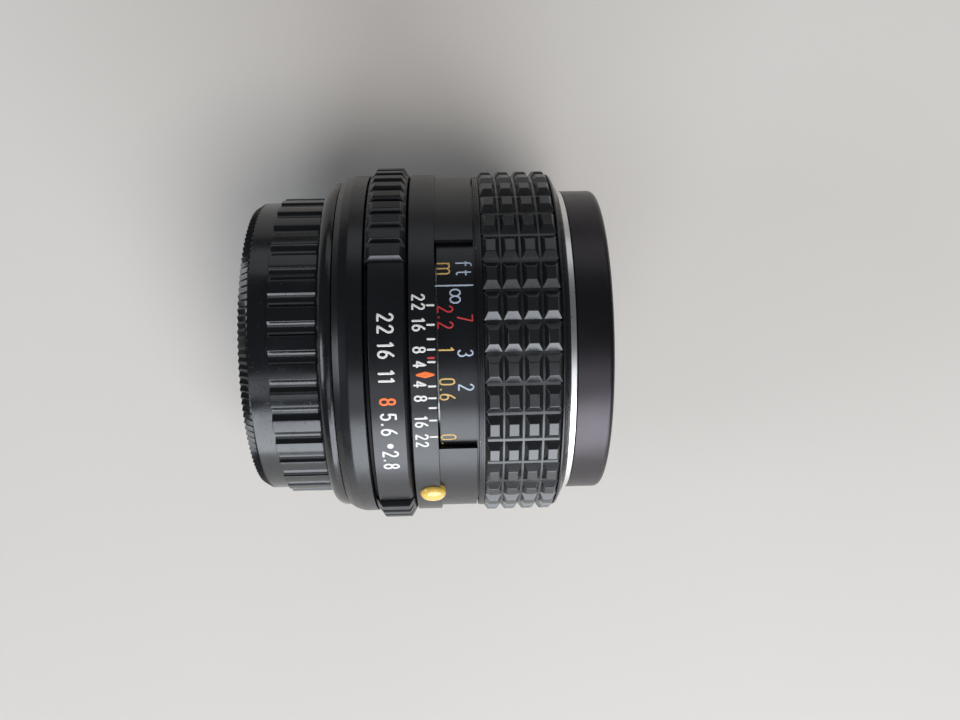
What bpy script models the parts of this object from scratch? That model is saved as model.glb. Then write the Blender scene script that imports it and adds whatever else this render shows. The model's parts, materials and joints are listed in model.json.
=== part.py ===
"""A wide-angle f/2.8 prime lens with a bayonet mount, lying on its side with its rear cap on.

The optical axis is the X axis, with the front of the lens towards +X, and X = 0 is the flange face of
the bayonet mount. +Z is up. Angles are in degrees round the optical axis, from +Z towards -Y, which is
a positive turn about +X. The lens is set to f/11 and 0.7 m.
"""
import math

import bmesh
import bpy
from mathutils import Matrix, Vector

MM = 0.001

# Fits
GAP = 0.3 * MM                    # between pieces that seat on each other or slide past each other
GLASS_GAP = 0.25 * MM             # round a lens element in its cell

# Lengths along the axis, from the mount flange to the front
REAR_BARREL_LENGTH = 4.5 * MM
APERTURE_RING_LENGTH = 6.8 * MM
DEPTH_RING_LENGTH = 4.1 * MM
SLEEVE_LENGTH = 6.15 * MM
FLANGE_LENGTH = 0.95 * MM
GRIP_LENGTH = 12.1 * MM
RIM_LENGTH = 2.0 * MM
BRIGHT_BAND_SHOWN = 0.9 * MM
FRONT_BARREL_LENGTH = 5.7 * MM

# Radii and walls, from the focusing thread outwards
HELICOID_RADIUS = 25.3 * MM       # outside of the moving barrel
MOVING_WALL = 1.5 * MM
FIXED_WALL = 1.4 * MM             # main barrel and focusing nut
SKIRT_WALL = 1.2 * MM
SLEEVE_WALL = 0.75 * MM
DEPTH_RING_STEP = 0.6 * MM        # of the depth-of-field ring above the sleeve
REAR_BARREL_WALL = 2.9 * MM
REAR_BARREL_LIP = 0.3 * MM        # of the rear barrel round the mount plate
REAR_CONE_RISE = 1.0 * MM
REAR_CONE_LENGTH = 2.0 * MM
NUMBER_BAND_WALL = 3.15 * MM      # of the aperture ring, under its numerals
RIB_TOP_WALL = 4.2 * MM           # of the aperture ring, at the tops of its ribs
RIB_DEPTH = 0.7 * MM
RIB_CHAMFER = 1.05 * MM
RIB_CHAMFER_DROP = 1.26 * MM
FLANGE_STEP = 1.2 * MM            # of the focusing ring's flange above its skirt
RUBBER_WALL = 1.75 * MM
RIM_STEP = 1.4 * MM
RIM_EDGE = 0.5 * MM               # flat part of the rim behind its slope
BRIGHT_BAND_WALL = 1.45 * MM
FRONT_BARREL_STEP = 0.15 * MM     # of the front barrel below the bright band
FRONT_BARREL_WALL = 2.4 * MM
FRONT_BARREL_CHAMFER = 0.5 * MM

# Ribs of the aperture ring, and its plain band of numerals
RIB_PITCH = 6.0                   # degrees
BAND_START = -24.0                # degrees
BAND_END = 60.0
APERTURE_TURN_ON = 15.1           # degrees, from here to f/22
APERTURE_TURN_BACK = 30.2         # degrees, from here to f/2.8

# Click stop
CLICK_ANGLE = 130.0               # degrees
CLICK_SPAN = 28.0                 # degrees
CLICK_BALL_RADIUS = 0.45 * MM
CLICK_SLOT_WIDTH = 2.2 * MM
CLICK_SLOT_EXTRA = 4.0            # degrees that the slot is longer than the leaf spring
CLICK_LEAF_WIDTH = 1.2 * MM
CLICK_LEAF_THICKNESS = 0.2 * MM
CLICK_LEAF_RISE = 0.15 * MM       # of the leaf above the main barrel's bore

# Window for the distance scale, and the index bead
WINDOW_START = -33.0              # degrees
WINDOW_END = 33.3
BEAD_ANGLE = 56.3
BEAD_RADIUS = 2.2 * MM
BEAD_RISE = 1.0 * MM
BEAD_SEAT = 0.7 * MM              # depth of the bead's pocket in the depth-of-field ring

# Bayonet mount
THROAT_RADIUS = 22.0 * MM
NECK_WALL = 0.95 * MM
CLAW_RISE = 1.05 * MM
CLAW_THICKNESS = 1.5 * MM
BAYONET_DEPTH = 4.6 * MM
CLAW_COUNT = 3
CLAW_SPAN = 56.0                  # degrees
FLANGE_PLATE = 1.4 * MM
SCREW_COUNT = 5
SCREW_START = 36.0                # degrees
SCREW_EDGE = 1.8 * MM             # of the screws' middles from the main barrel's outside
SCREW_HEAD_RADIUS = 1.2 * MM
SCREW_HEAD_HEIGHT = 0.8 * MM
SCREW_SHANK_RADIUS = 0.7 * MM
SCREW_LENGTH = 2.9 * MM
SCREW_SUNK = 0.1 * MM
SCREW_SLOT_WIDTH = 0.35 * MM
SCREW_SLOT_DEPTH = 0.45 * MM
SEAT_PLATE = 1.6 * MM             # plate of the main barrel that the mount screws into

# Rear cap
CAP_LENGTH = 15.0 * MM
CAP_WALL = 1.3 * MM
CAP_BASE = 1.5 * MM
CAP_CLEARANCE = 0.4 * MM          # round the claws
CAP_DRUM_STEP = 0.75 * MM         # of the ribbed drum above the smooth band
CAP_BAND_LENGTH = 3.2 * MM
CAP_EDGE_LENGTH = 1.4 * MM
CAP_EDGE_RISE = 0.75 * MM
CAP_SHOULDER_RADIUS = 2.6 * MM
CAP_LIP_LENGTH = 0.8 * MM
CAP_LUG_SPAN = 44.0               # degrees
CAP_LUG_RISE = 1.1 * MM
CAP_LUG_THICKNESS = 1.4 * MM

# Rear baffle and stop-down lever
BAFFLE_INNER_RADIUS = 13.5 * MM
BAFFLE_THICKNESS = 0.8 * MM
LEVER_RING_WALL = 2.2 * MM
LEVER_RING_THICKNESS = 1.2 * MM
LEVER_WIDTH = 2.2 * MM
LEVER_DEPTH = 1.8 * MM
LEVER_REACH = 7.5 * MM            # behind the flange
LEVER_ANGLE = 130.0               # degrees
SPRING_TURNS = 5
SPRING_STEPS = 6                  # in each turn
SPRING_WIRE_RADIUS = 0.15 * MM
SPRING_COIL_RADIUS = 0.9 * MM
SPRING_LENGTH = 6.5 * MM
SPRING_ANGLE = 170.0              # degrees
SPRING_OUT = 1.4 * MM             # of the spring's middle from the throat
SPRING_FORWARD = 1.7 * MM         # of the spring's middle from the lever ring

# Iris
BLADE_COUNT = 5
BLADE_THICKNESS = 0.2 * MM
PIVOT_CIRCLE = 11.0 * MM
BLADE_HALF_WIDTH = 2.6 * MM
BLADE_SPAN = 112.0                # degrees, beyond the pivot
BLADE_TAIL = 12.0                 # degrees, behind the pivot
BLADE_CLOSED_BY = 35.3            # degrees that a blade is swung in at f/11
PIN_RADIUS = 0.6 * MM
PIVOT_OFFSET = 20.0               # degrees
IRIS_WALL = 1.3 * MM
IRIS_CAVITY_RADIUS = 15.9 * MM
IRIS_OPENING = 6.4 * MM
IRIS_PLATE = 0.6 * MM
IRIS_BACK = 22.4 * MM             # back of the iris housing
CAM_RING_THICKNESS = 0.8 * MM
CAM_RING_LIP = 1.4 * MM           # of the cam ring beyond the iris housing
CAM_SLOT_WIDTH = 1.2 * MM
CAM_SLOT_SPAN = 34.0              # degrees
CAM_SLOT_EDGE = 1.0 * MM          # of the cam slots from the cam ring's bore
FORK_WIDTH = 1.2 * MM             # of each prong
LINK_ANGLE = 215.0                # degrees
LINK_WIDTH = 2.0 * MM
LINK_DEPTH = 1.0 * MM

# Glass: rim radius, front and rear curve (positive: convex to the front), middle thickness
FRONT_GLASS = (
    ("lens_element_1", 16.5 * MM, 75 * MM, 30 * MM, 2.0 * MM),
    ("lens_element_2", 12.5 * MM, 40 * MM, 18 * MM, 1.5 * MM),
    ("lens_element_3", 9.5 * MM, 25 * MM, -30 * MM, 4.4 * MM),
)
FRONT_AIR = (3.3 * MM, 2.2 * MM)  # between the middles of the three front elements
REAR_GLASS = (
    ("lens_element_4", -22 * MM, 22 * MM, 1.5 * MM),
    ("lens_element_5", -40 * MM, -18 * MM, 3.2 * MM),
    ("lens_element_6", 80 * MM, -26 * MM, 3.2 * MM),
    ("lens_element_7", 50 * MM, -70 * MM, 2.8 * MM),
)
REAR_RIM_RADIUS = 9.0 * MM
REAR_AIR = (1.5 * MM, 0.84 * MM, 0.59 * MM)    # between neighbours, where they come nearest
CELL_WALL = 1.2 * MM
CELL_WEB = 1.6 * MM
CELL_LIP = 1.0 * MM
RETAINER_WALL = 1.2 * MM
RETAINER_LENGTH = 0.9 * MM
INNER_RETAINER_LENGTH = 0.6 * MM
NAME_RING_THICKNESS = 0.8 * MM
SPIGOT_LENGTH = 0.6 * MM          # of the moving barrel inside the front barrel

# Focusing
FOCUS_TRAVEL_IN = 1.2 * MM        # of the optics, from here back to infinity
FOCUS_TRAVEL_OUT = 2.4 * MM       # of the optics, from here out to the near limit, taken as 0.3 m
NUT_SETBACK = 4.0 * MM            # of the focusing nut's front end from the rim
MOVING_TAIL = 3.6 * MM            # of the moving barrel behind the focusing ring
SET_SCREW_COUNT = 3
SET_SCREW_RADIUS = 1.0 * MM
SET_SCREW_START = 20.0            # degrees
SET_SCREW_SETBACK = 4.0 * MM      # from the back of the rubber
KEY_WIDTH = 3.0 * MM
KEY_LENGTH = 13.0 * MM
KEY_ANGLES = (80.0, 260.0)

# Sides of the round shapes
SHELL_SIDES = 48
INNER_SIDES = 24
GLASS_SIDES = 20
SMALL_SIDES = 8

# Derived places along the axis
X_RING = REAR_BARREL_LENGTH + GAP
X_RING_FRONT = X_RING + APERTURE_RING_LENGTH
X_DEPTH = X_RING_FRONT + GAP
X_SLEEVE = X_DEPTH + DEPTH_RING_LENGTH
X_SLEEVE_FRONT = X_SLEEVE + SLEEVE_LENGTH
X_FLANGE = X_SLEEVE_FRONT + GAP
X_GRIP = X_FLANGE + FLANGE_LENGTH
X_RIM = X_GRIP + GRIP_LENGTH
X_RIM_FRONT = X_RIM + RIM_LENGTH
X_FRONT_BARREL = X_RIM_FRONT + BRIGHT_BAND_SHOWN
X_FRONT = X_FRONT_BARREL + FRONT_BARREL_LENGTH
X_MOVING_FRONT = X_FRONT_BARREL + SPIGOT_LENGTH
X_NUT_FRONT = X_RIM - NUT_SETBACK
X_RING_MIDDLE = X_RING + APERTURE_RING_LENGTH / 2
X_SEAT = FLANGE_PLATE + GAP       # back of the plate that the mount screws into
X_LEVER_RING = X_SEAT + SEAT_PLATE + GAP

# Derived radii
R_MOVING_BORE = HELICOID_RADIUS - MOVING_WALL
R_FIXED_BORE = HELICOID_RADIUS + GAP
R_FIXED = R_FIXED_BORE + FIXED_WALL
R_SKIRT_BORE = R_FIXED + GAP
R_SKIRT = R_SKIRT_BORE + SKIRT_WALL
R_SLEEVE_BORE = R_SKIRT + GAP
R_SLEEVE = R_SLEEVE_BORE + SLEEVE_WALL
R_DEPTH = R_SLEEVE + DEPTH_RING_STEP
R_RING_BORE = R_FIXED + GAP
R_BAND = R_RING_BORE + NUMBER_BAND_WALL
R_RIB = R_RING_BORE + RIB_TOP_WALL
R_REAR = R_FIXED + GAP + REAR_BARREL_WALL
R_BRIGHT = HELICOID_RADIUS + GAP + BRIGHT_BAND_WALL
R_FRONT_BARREL = R_BRIGHT - FRONT_BARREL_STEP
R_NECK = THROAT_RADIUS + NECK_WALL
R_CAP_BORE = R_NECK + CLAW_RISE + CAP_CLEARANCE
R_CAP_BAND = R_CAP_BORE + CAP_WALL
R_CAP_DRUM = R_CAP_BAND + CAP_DRUM_STEP
R_MOUNT_PLATE = R_REAR - REAR_CONE_RISE - REAR_BARREL_LIP - GAP
R_SCREWS = R_FIXED - SCREW_EDGE
R_LEVER = THROAT_RADIUS - 2 * GAP
R_BAFFLE = R_LEVER - LEVER_DEPTH - GAP
R_CAM_RING = IRIS_CAVITY_RADIUS + IRIS_WALL + CAM_RING_LIP
R_LINK = R_CAM_RING + GAP

BLACK_PAINT = ((0.030, 0.031, 0.034), 0.38, 0.25)
BLACK_ANODISED = ((0.045, 0.042, 0.050), 0.34, 0.6)
INNER_BLACK = ((0.018, 0.018, 0.019), 0.75, 0.0)
CAP_PLASTIC = ((0.020, 0.021, 0.023), 0.22, 0.0)
RUBBER = ((0.026, 0.026, 0.028), 0.68, 0.0)
ALUMINIUM = ((0.80, 0.79, 0.77), 0.35, 1.0)
BRASS = ((0.62, 0.47, 0.22), 0.35, 1.0)
CHROME = ((0.72, 0.72, 0.71), 0.18, 1.0)
STEEL = ((0.45, 0.45, 0.46), 0.30, 1.0)
BLADE_STEEL = ((0.07, 0.07, 0.075), 0.45, 0.8)
AMBER = ((0.72, 0.42, 0.08), 0.16, 0.0)
GLASS = ((0.55, 0.58, 0.62), 0.05, 0.0)


def clear_scene():
    """Remove the objects that the scene starts with."""
    for thing in list(bpy.data.objects):
        bpy.data.objects.remove(thing, do_unlink=True)


def place(x, radius, angle):
    """The point at a distance along the axis, a radius and an angle in degrees."""
    turn = math.radians(angle)
    return Vector((x, -radius * math.sin(turn), radius * math.cos(turn)))


def turned_about_axis(angle):
    """A turn about the optical axis by an angle in degrees."""
    return Matrix.Rotation(math.radians(angle), 4, "X")


def give_finish(piece, finish):
    """Give a piece its own material."""
    colour, roughness, metallic = finish
    material = bpy.data.materials.new(piece.name)
    material.use_nodes = True
    shader = material.node_tree.nodes["Principled BSDF"]
    shader.inputs["Base Color"].default_value = (*colour, 1.0)
    shader.inputs["Roughness"].default_value = roughness
    shader.inputs["Metallic"].default_value = metallic
    piece.data.materials.append(material)


def add_piece(name, mesh_builder, finish=None):
    """Make an object from a bmesh. Without a finish it is a cutter, which isn't part of the lens."""
    bmesh.ops.remove_doubles(mesh_builder, verts=mesh_builder.verts, dist=0.001 * MM)
    bmesh.ops.recalc_face_normals(mesh_builder, faces=mesh_builder.faces)
    mesh = bpy.data.meshes.new(name)
    mesh_builder.to_mesh(mesh)
    mesh_builder.free()
    piece = bpy.data.objects.new(name, mesh)
    bpy.context.scene.collection.objects.link(piece)
    if finish:
        give_finish(piece, finish)
        mesh.shade_smooth()
        mesh.set_sharp_from_angle(angle=math.radians(30))
    else:
        piece.hide_render = True
        piece.display_type = "WIRE"
    return piece


def spin_profile(profile, sides, closed=True):
    """Turn an outline of (x, radius) points about the optical axis."""
    builder = bmesh.new()
    points = [builder.verts.new((x, 0, radius)) for x, radius in profile]
    pairs = list(zip(points, points[1:]))
    if closed:
        pairs.append((points[-1], points[0]))
    edges = [builder.edges.new(pair) for pair in pairs]
    bmesh.ops.spin(builder, geom=points + edges, cent=(0, 0, 0), axis=(1, 0, 0),
                   angle=math.tau, steps=sides, use_merge=True)
    return builder


def turned(name, profile, finish=None, sides=INNER_SIDES):
    """A ring or tube whose section is a closed outline of (x, radius) points."""
    return add_piece(name, spin_profile(profile, sides), finish)


def tube(name, back, front, inner, outer, finish=None, sides=INNER_SIDES):
    """A plain ring between two places along the axis and two radii."""
    return turned(name, [(back, inner), (front, inner), (front, outer), (back, outer)], finish, sides)


def arc_block(name, back, front, inner, outer, middle, span, finish=None, step=6.0):
    """A piece of a ring that spans some degrees round the axis, centred on an angle."""
    builder = bmesh.new()
    corners = [(back, inner), (front, inner), (front, outer), (back, outer)]
    start = middle - span / 2
    face = builder.faces.new([builder.verts.new(place(x, radius, start)) for x, radius in corners])
    steps = max(1, round(span / step))
    bmesh.ops.spin(builder, geom=list(face.verts) + list(face.edges) + [face], cent=(0, 0, 0),
                   axis=(1, 0, 0), angle=math.radians(span), steps=steps)
    return add_piece(name, builder, finish)


def bar(name, back, front, inner, outer, width, angle, finish=None):
    """A straight bar along the axis, of a width across, at an angle round it."""
    builder = bmesh.new()
    bmesh.ops.create_cube(builder, size=1.0)
    size = Matrix.Diagonal((front - back, width, outer - inner, 1.0))
    middle = Matrix.Translation(((back + front) / 2, 0, (inner + outer) / 2))
    bmesh.ops.transform(builder, matrix=turned_about_axis(angle) @ middle @ size, verts=builder.verts)
    return add_piece(name, builder, finish)


def rod(name, start, end, radius, finish=None, sides=SMALL_SIDES):
    """A straight round rod between two points."""
    builder = bmesh.new()
    line = end - start
    bmesh.ops.create_cone(builder, segments=sides, radius1=radius, radius2=radius, depth=line.length,
                          cap_ends=True, cap_tris=False)
    turn = line.to_track_quat("Z", "Y").to_matrix().to_4x4()
    bmesh.ops.transform(builder, matrix=Matrix.Translation((start + end) / 2) @ turn, verts=builder.verts)
    return add_piece(name, builder, finish)


def combine(piece, other, operation):
    """Cut another shape out of a piece, or unite it with the piece."""
    modifier = piece.modifiers.new(f"{operation} {other.name}", "BOOLEAN")
    modifier.operation = operation
    modifier.object = other
    modifier.solver = "EXACT"


def cut(piece, cutter):
    combine(piece, cutter, "DIFFERENCE")


def unite(piece, other):
    combine(piece, other, "UNION")


def quarter_round(x, radius, size, steps=2):
    """Outline points of a convex quarter round, rising from a drum to a larger lip towards +X."""
    return [(x + size * (1 - math.cos(turn)), radius + size * math.sin(turn))
            for turn in (math.pi / 2 * index / steps for index in range(steps + 1))]


def make_rear_cap():
    back = -CAP_LENGTH - GAP
    front = -GAP
    shoulder = front - CAP_LIP_LENGTH - CAP_SHOULDER_RADIUS
    outside = [(back, R_CAP_BAND - CAP_EDGE_RISE), (back + CAP_EDGE_LENGTH, R_CAP_BAND),
               (back + CAP_EDGE_LENGTH + CAP_BAND_LENGTH, R_CAP_BAND),
               (back + CAP_EDGE_LENGTH + CAP_BAND_LENGTH, R_CAP_DRUM), (shoulder, R_CAP_DRUM)]
    outside += quarter_round(shoulder, R_CAP_DRUM, CAP_SHOULDER_RADIUS)[1:]
    outside.append((front, R_CAP_DRUM + CAP_SHOULDER_RADIUS))
    inside = [(front, R_CAP_BORE), (back + CAP_BASE, R_CAP_BORE)]
    profile = [(back, 0)] + outside + inside + [(back + CAP_BASE, 0)]
    cap = add_piece("rear_cap", spin_profile(profile, SHELL_SIDES, closed=False), CAP_PLASTIC)
    lug_front = -(BAYONET_DEPTH - CLAW_THICKNESS) + CAP_LUG_THICKNESS
    for index in range(CLAW_COUNT):
        angle = (index + 0.5) * 360 / CLAW_COUNT
        lug = arc_block(f"cap lug {index + 1}", lug_front - CAP_LUG_THICKNESS, lug_front,
                        R_CAP_BORE - CAP_LUG_RISE, R_CAP_BORE + CAP_WALL / 2, angle,
                        CAP_LUG_SPAN)
        unite(cap, lug)


def screw_middles():
    """The places of the mount screws, on the flange face."""
    return [place(0, R_SCREWS, SCREW_START + index * 360 / SCREW_COUNT) for index in range(SCREW_COUNT)]


def make_bayonet_mount():
    profile = [(-BAYONET_DEPTH, THROAT_RADIUS), (FLANGE_PLATE, THROAT_RADIUS),
               (FLANGE_PLATE, R_MOUNT_PLATE), (0, R_MOUNT_PLATE), (0, R_NECK), (-BAYONET_DEPTH, R_NECK)]
    mount = turned("bayonet_mount", profile, CHROME, SHELL_SIDES)
    mount.data.transform(turned_about_axis(180 / SHELL_SIDES))   # a side, not a corner, behind each screw
    for index in range(CLAW_COUNT):
        claw = arc_block(f"claw {index + 1}", -BAYONET_DEPTH, -BAYONET_DEPTH + CLAW_THICKNESS,
                         THROAT_RADIUS + NECK_WALL / 2, R_NECK + CLAW_RISE, index * 360 / CLAW_COUNT,
                         CLAW_SPAN)
        unite(mount, claw)
    for index, middle in enumerate(screw_middles()):
        sink = rod(f"screw sink {index + 1}", middle - Vector((MM, 0, 0)),
                   middle + Vector((SCREW_HEAD_HEIGHT, 0, 0)), SCREW_HEAD_RADIUS + GAP)
        hole = rod(f"screw hole {index + 1}", middle - Vector((MM, 0, 0)),
                   middle + Vector((SCREW_LENGTH + MM, 0, 0)), SCREW_SHANK_RADIUS + GAP)
        cut(mount, sink)
        cut(mount, hole)


def make_mount_screws():
    for index, middle in enumerate(screw_middles()):
        outline = [(SCREW_SUNK, 0), (SCREW_SUNK, SCREW_HEAD_RADIUS),
                   (SCREW_HEAD_HEIGHT - GAP, SCREW_HEAD_RADIUS),
                   (SCREW_HEAD_HEIGHT, SCREW_SHANK_RADIUS), (SCREW_LENGTH, SCREW_SHANK_RADIUS),
                   (SCREW_LENGTH, 0)]
        screw = add_piece(f"mount_screw_{index + 1}", spin_profile(outline, SMALL_SIDES, closed=False),
                          STEEL)
        screw.location = middle
        slot = bar(f"screw slot {index + 1}", -MM, SCREW_SLOT_DEPTH, -2 * MM, 2 * MM,
                   SCREW_SLOT_WIDTH, 0)
        slot.location = middle
        cut(screw, slot)


def make_main_barrel():
    bore = THROAT_RADIUS + GAP
    profile = [(X_SEAT, bore), (X_SEAT + SEAT_PLATE, bore), (X_SEAT + SEAT_PLATE, R_FIXED_BORE),
               (X_SLEEVE, R_FIXED_BORE), (X_SLEEVE, R_FIXED), (X_SEAT, R_FIXED)]
    barrel = turned("main_barrel", profile, INNER_BLACK, SHELL_SIDES)
    for index in range(SCREW_COUNT):
        cut(barrel, bpy.data.objects[f"screw hole {index + 1}"])
    link_half_width = LINK_WIDTH / 2 + GAP
    link_half_turn = math.degrees(link_half_width / R_FIXED_BORE) + 1
    cut(barrel, arc_block("link slot", X_RING_MIDDLE - link_half_width, X_RING_MIDDLE + link_half_width,
                          R_FIXED_BORE - MM, R_FIXED + MM,
                          LINK_ANGLE + (APERTURE_TURN_ON - APERTURE_TURN_BACK) / 2,
                          APERTURE_TURN_ON + APERTURE_TURN_BACK + 2 * link_half_turn))
    cut(barrel, arc_block("click slot", X_RING_MIDDLE - CLICK_SLOT_WIDTH / 2,
                          X_RING_MIDDLE + CLICK_SLOT_WIDTH / 2, R_FIXED_BORE - MM, R_FIXED + MM,
                          CLICK_ANGLE, CLICK_SPAN + CLICK_SLOT_EXTRA))


def make_rear_barrel():
    counterbore = R_MOUNT_PLATE + GAP
    profile = [(0, counterbore), (X_SEAT, counterbore), (X_SEAT, R_FIXED + GAP),
               (REAR_BARREL_LENGTH, R_FIXED + GAP), (REAR_BARREL_LENGTH, R_REAR),
               (REAR_CONE_LENGTH, R_REAR), (0, R_REAR - REAR_CONE_RISE)]
    turned("rear_barrel", profile, BLACK_PAINT, SHELL_SIDES)


def make_click():
    """The sprung ball that clicks into the aperture ring's detents, on the end of its leaf spring."""
    leaf_bottom = R_FIXED_BORE + CLICK_LEAF_RISE
    leaf_top = leaf_bottom + CLICK_LEAF_THICKNESS
    arc_block("click_spring", X_RING_MIDDLE - CLICK_LEAF_WIDTH / 2, X_RING_MIDDLE + CLICK_LEAF_WIDTH / 2,
              leaf_bottom, leaf_top, CLICK_ANGLE, CLICK_SPAN, STEEL)
    builder = bmesh.new()
    bmesh.ops.create_icosphere(builder, subdivisions=2, radius=CLICK_BALL_RADIUS)
    ball = add_piece("click_ball", builder, STEEL)
    ball.location = place(X_RING_MIDDLE, leaf_top + GAP + CLICK_BALL_RADIUS, CLICK_ANGLE)


def ring_section(top):
    """The aperture ring's section, with its grip at a radius."""
    low = top - RIB_CHAMFER_DROP
    return [(X_RING, R_RING_BORE), (X_RING_FRONT, R_RING_BORE), (X_RING_FRONT, low),
            (X_RING_FRONT - RIB_CHAMFER, top), (X_RING + RIB_CHAMFER, top), (X_RING, low)]


def make_aperture_ring():
    """The aperture ring: ribs all round but for the plain band of numerals."""
    stations = []
    angle = BAND_START
    while angle < BAND_END:
        stations.append((angle, R_BAND))
        angle += RIB_PITCH
    stations.append((BAND_END, R_BAND))
    rib_count = round((360 - (BAND_END - BAND_START)) / RIB_PITCH)
    for index in range(rib_count):
        start = BAND_END + index * RIB_PITCH
        stations.append((start + RIB_PITCH / 2, R_RIB))
        if index < rib_count - 1:
            stations.append((start + RIB_PITCH, R_RIB - RIB_DEPTH))
    builder = bmesh.new()
    loops = [[builder.verts.new(place(x, radius, angle)) for x, radius in ring_section(top)]
             for angle, top in stations]
    for loop, following in zip(loops, loops[1:] + loops[:1]):
        for index in range(len(loop)):
            after = (index + 1) % len(loop)
            builder.faces.new((loop[index], loop[after], following[after], following[index]))
    add_piece("aperture_ring", builder, BLACK_PAINT)


def make_aperture_link():
    """The arm that carries the aperture ring's turn to the iris: a radial foot and an axial finger."""
    foot_back = X_RING_MIDDLE - LINK_WIDTH / 2
    link = bar("aperture_link", foot_back, foot_back + LINK_WIDTH, R_LINK, R_RING_BORE - GAP / 2,
               LINK_WIDTH, LINK_ANGLE, BRASS)
    reach = IRIS_BACK + FOCUS_TRAVEL_OUT
    unite(link, bar("link finger", foot_back, reach, R_LINK, R_LINK + LINK_DEPTH, LINK_WIDTH, LINK_ANGLE))


def make_cam_ring():
    """The cam ring behind the iris, with a fork that straddles the link's finger."""
    front = IRIS_BACK - GAP
    back = front - CAM_RING_THICKNESS
    bore = REAR_RIM_RADIUS + GLASS_GAP + CELL_WALL + GAP
    ring = tube("iris_cam_ring", back, front, bore, R_CAM_RING, BRASS)
    for side in (-1, 1):
        prong_turn = math.degrees((LINK_WIDTH / 2 + GAP + FORK_WIDTH / 2) / R_LINK)
        unite(ring, bar(f"fork prong {side}", back, front, R_CAM_RING - MM, R_LINK + LINK_DEPTH,
                        FORK_WIDTH, LINK_ANGLE + side * prong_turn))
    for index in range(BLADE_COUNT):
        slot_angle = PIVOT_OFFSET + (index + 0.5) * 360 / BLADE_COUNT
        cut(ring, arc_block(f"cam slot {index + 1}", back - MM, front + MM, bore + CAM_SLOT_EDGE,
                            bore + CAM_SLOT_EDGE + CAM_SLOT_WIDTH, slot_angle, CAM_SLOT_SPAN))


def iris_stack():
    """Places along the axis of the iris: each blade's back, and the back of the cover."""
    first = IRIS_BACK + IRIS_PLATE + GAP
    pitch = BLADE_THICKNESS + GAP
    blades = [first + (BLADE_COUNT - 1 - index) * pitch for index in range(BLADE_COUNT)]
    return blades, first + BLADE_COUNT * pitch


def pivot_place(index, x):
    return place(x, PIVOT_CIRCLE, PIVOT_OFFSET + index * 360 / BLADE_COUNT)


def make_iris_housing():
    blades, cover = iris_stack()
    outer = IRIS_CAVITY_RADIUS + IRIS_WALL
    profile = [(IRIS_BACK, IRIS_OPENING), (IRIS_BACK + IRIS_PLATE, IRIS_OPENING),
               (IRIS_BACK + IRIS_PLATE, IRIS_CAVITY_RADIUS), (cover + IRIS_PLATE, IRIS_CAVITY_RADIUS),
               (cover + IRIS_PLATE, outer), (IRIS_BACK, outer)]
    housing = turned("iris_housing", profile, INNER_BLACK)
    lid = tube("iris_cover", cover, cover + IRIS_PLATE, IRIS_OPENING, IRIS_CAVITY_RADIUS - GAP,
               INNER_BLACK)
    reach = Vector((IRIS_PLATE / 2 + MM, 0, 0))
    for index in range(BLADE_COUNT):
        plate, target = (cover, lid) if index == 0 else (IRIS_BACK, housing)
        middle = pivot_place(index, plate + IRIS_PLATE / 2)
        cut(target, rod(f"pivot hole {index + 1}", middle - reach, middle + reach, PIN_RADIUS + GAP))


def make_blade(index):
    """One iris blade: a crescent with its pivot pin, set on its pivot and swung in to f/11."""
    blades, cover = iris_stack()
    inner = PIVOT_CIRCLE - BLADE_HALF_WIDTH
    outer = PIVOT_CIRCLE + BLADE_HALF_WIDTH
    steps = 12
    angles = [-BLADE_TAIL + (BLADE_TAIL + BLADE_SPAN) * step / steps for step in range(steps + 1)]
    outline = [place(0, outer, angle) for angle in angles]
    outline += [place(0, inner, angle) for angle in reversed(angles)]
    builder = bmesh.new()
    drop = Vector((0, 0, PIVOT_CIRCLE))
    face = builder.faces.new([builder.verts.new(point - drop) for point in outline])
    raised = bmesh.ops.extrude_face_region(builder, geom=[face])["geom"]
    shift = Vector((BLADE_THICKNESS, 0, 0))
    bmesh.ops.translate(builder, vec=shift, verts=[v for v in raised if isinstance(v, bmesh.types.BMVert)])
    blade = add_piece(f"iris_blade_{index + 1}", builder, BLADE_STEEL)
    middle = BLADE_THICKNESS / 2
    if index == 0:
        tip = cover + IRIS_PLATE - blades[index]
    else:
        tip = IRIS_BACK - blades[index]
    pin = rod(f"blade pin {index + 1}", Vector((middle, 0, 0)), Vector((tip, 0, 0)), PIN_RADIUS)
    unite(blade, pin)
    turn = math.radians(PIVOT_OFFSET + index * 360 / BLADE_COUNT + BLADE_CLOSED_BY)
    for part in (blade, pin):
        part.location = pivot_place(index, blades[index])
        part.rotation_euler = (turn, 0, 0)


def make_depth_scale_sleeve():
    """The fixed depth-of-field ring and the sleeve in front of it, with the distance-scale window."""
    profile = [(X_DEPTH, R_SLEEVE_BORE), (X_SLEEVE_FRONT, R_SLEEVE_BORE), (X_SLEEVE_FRONT, R_SLEEVE),
               (X_SLEEVE, R_SLEEVE), (X_SLEEVE, R_DEPTH), (X_DEPTH, R_DEPTH)]
    sleeve = turned("depth_scale_sleeve", profile, BLACK_PAINT, SHELL_SIDES)
    cut(sleeve, arc_block("scale window", X_SLEEVE, X_SLEEVE_FRONT + MM, R_SLEEVE_BORE - MM, R_DEPTH + MM,
                          (WINDOW_START + WINDOW_END) / 2, WINDOW_END - WINDOW_START))
    middle = X_SLEEVE - BEAD_RADIUS / 2
    cut(sleeve, rod("bead pocket", place(middle, R_DEPTH - BEAD_SEAT - GAP, BEAD_ANGLE),
                    place(middle, R_DEPTH + 3 * MM, BEAD_ANGLE), BEAD_RADIUS + GAP, sides=24))
    tube("barrel_tie_ring", X_DEPTH, X_SLEEVE - GAP, R_FIXED + GAP, R_SLEEVE_BORE - GAP, INNER_BLACK)


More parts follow.
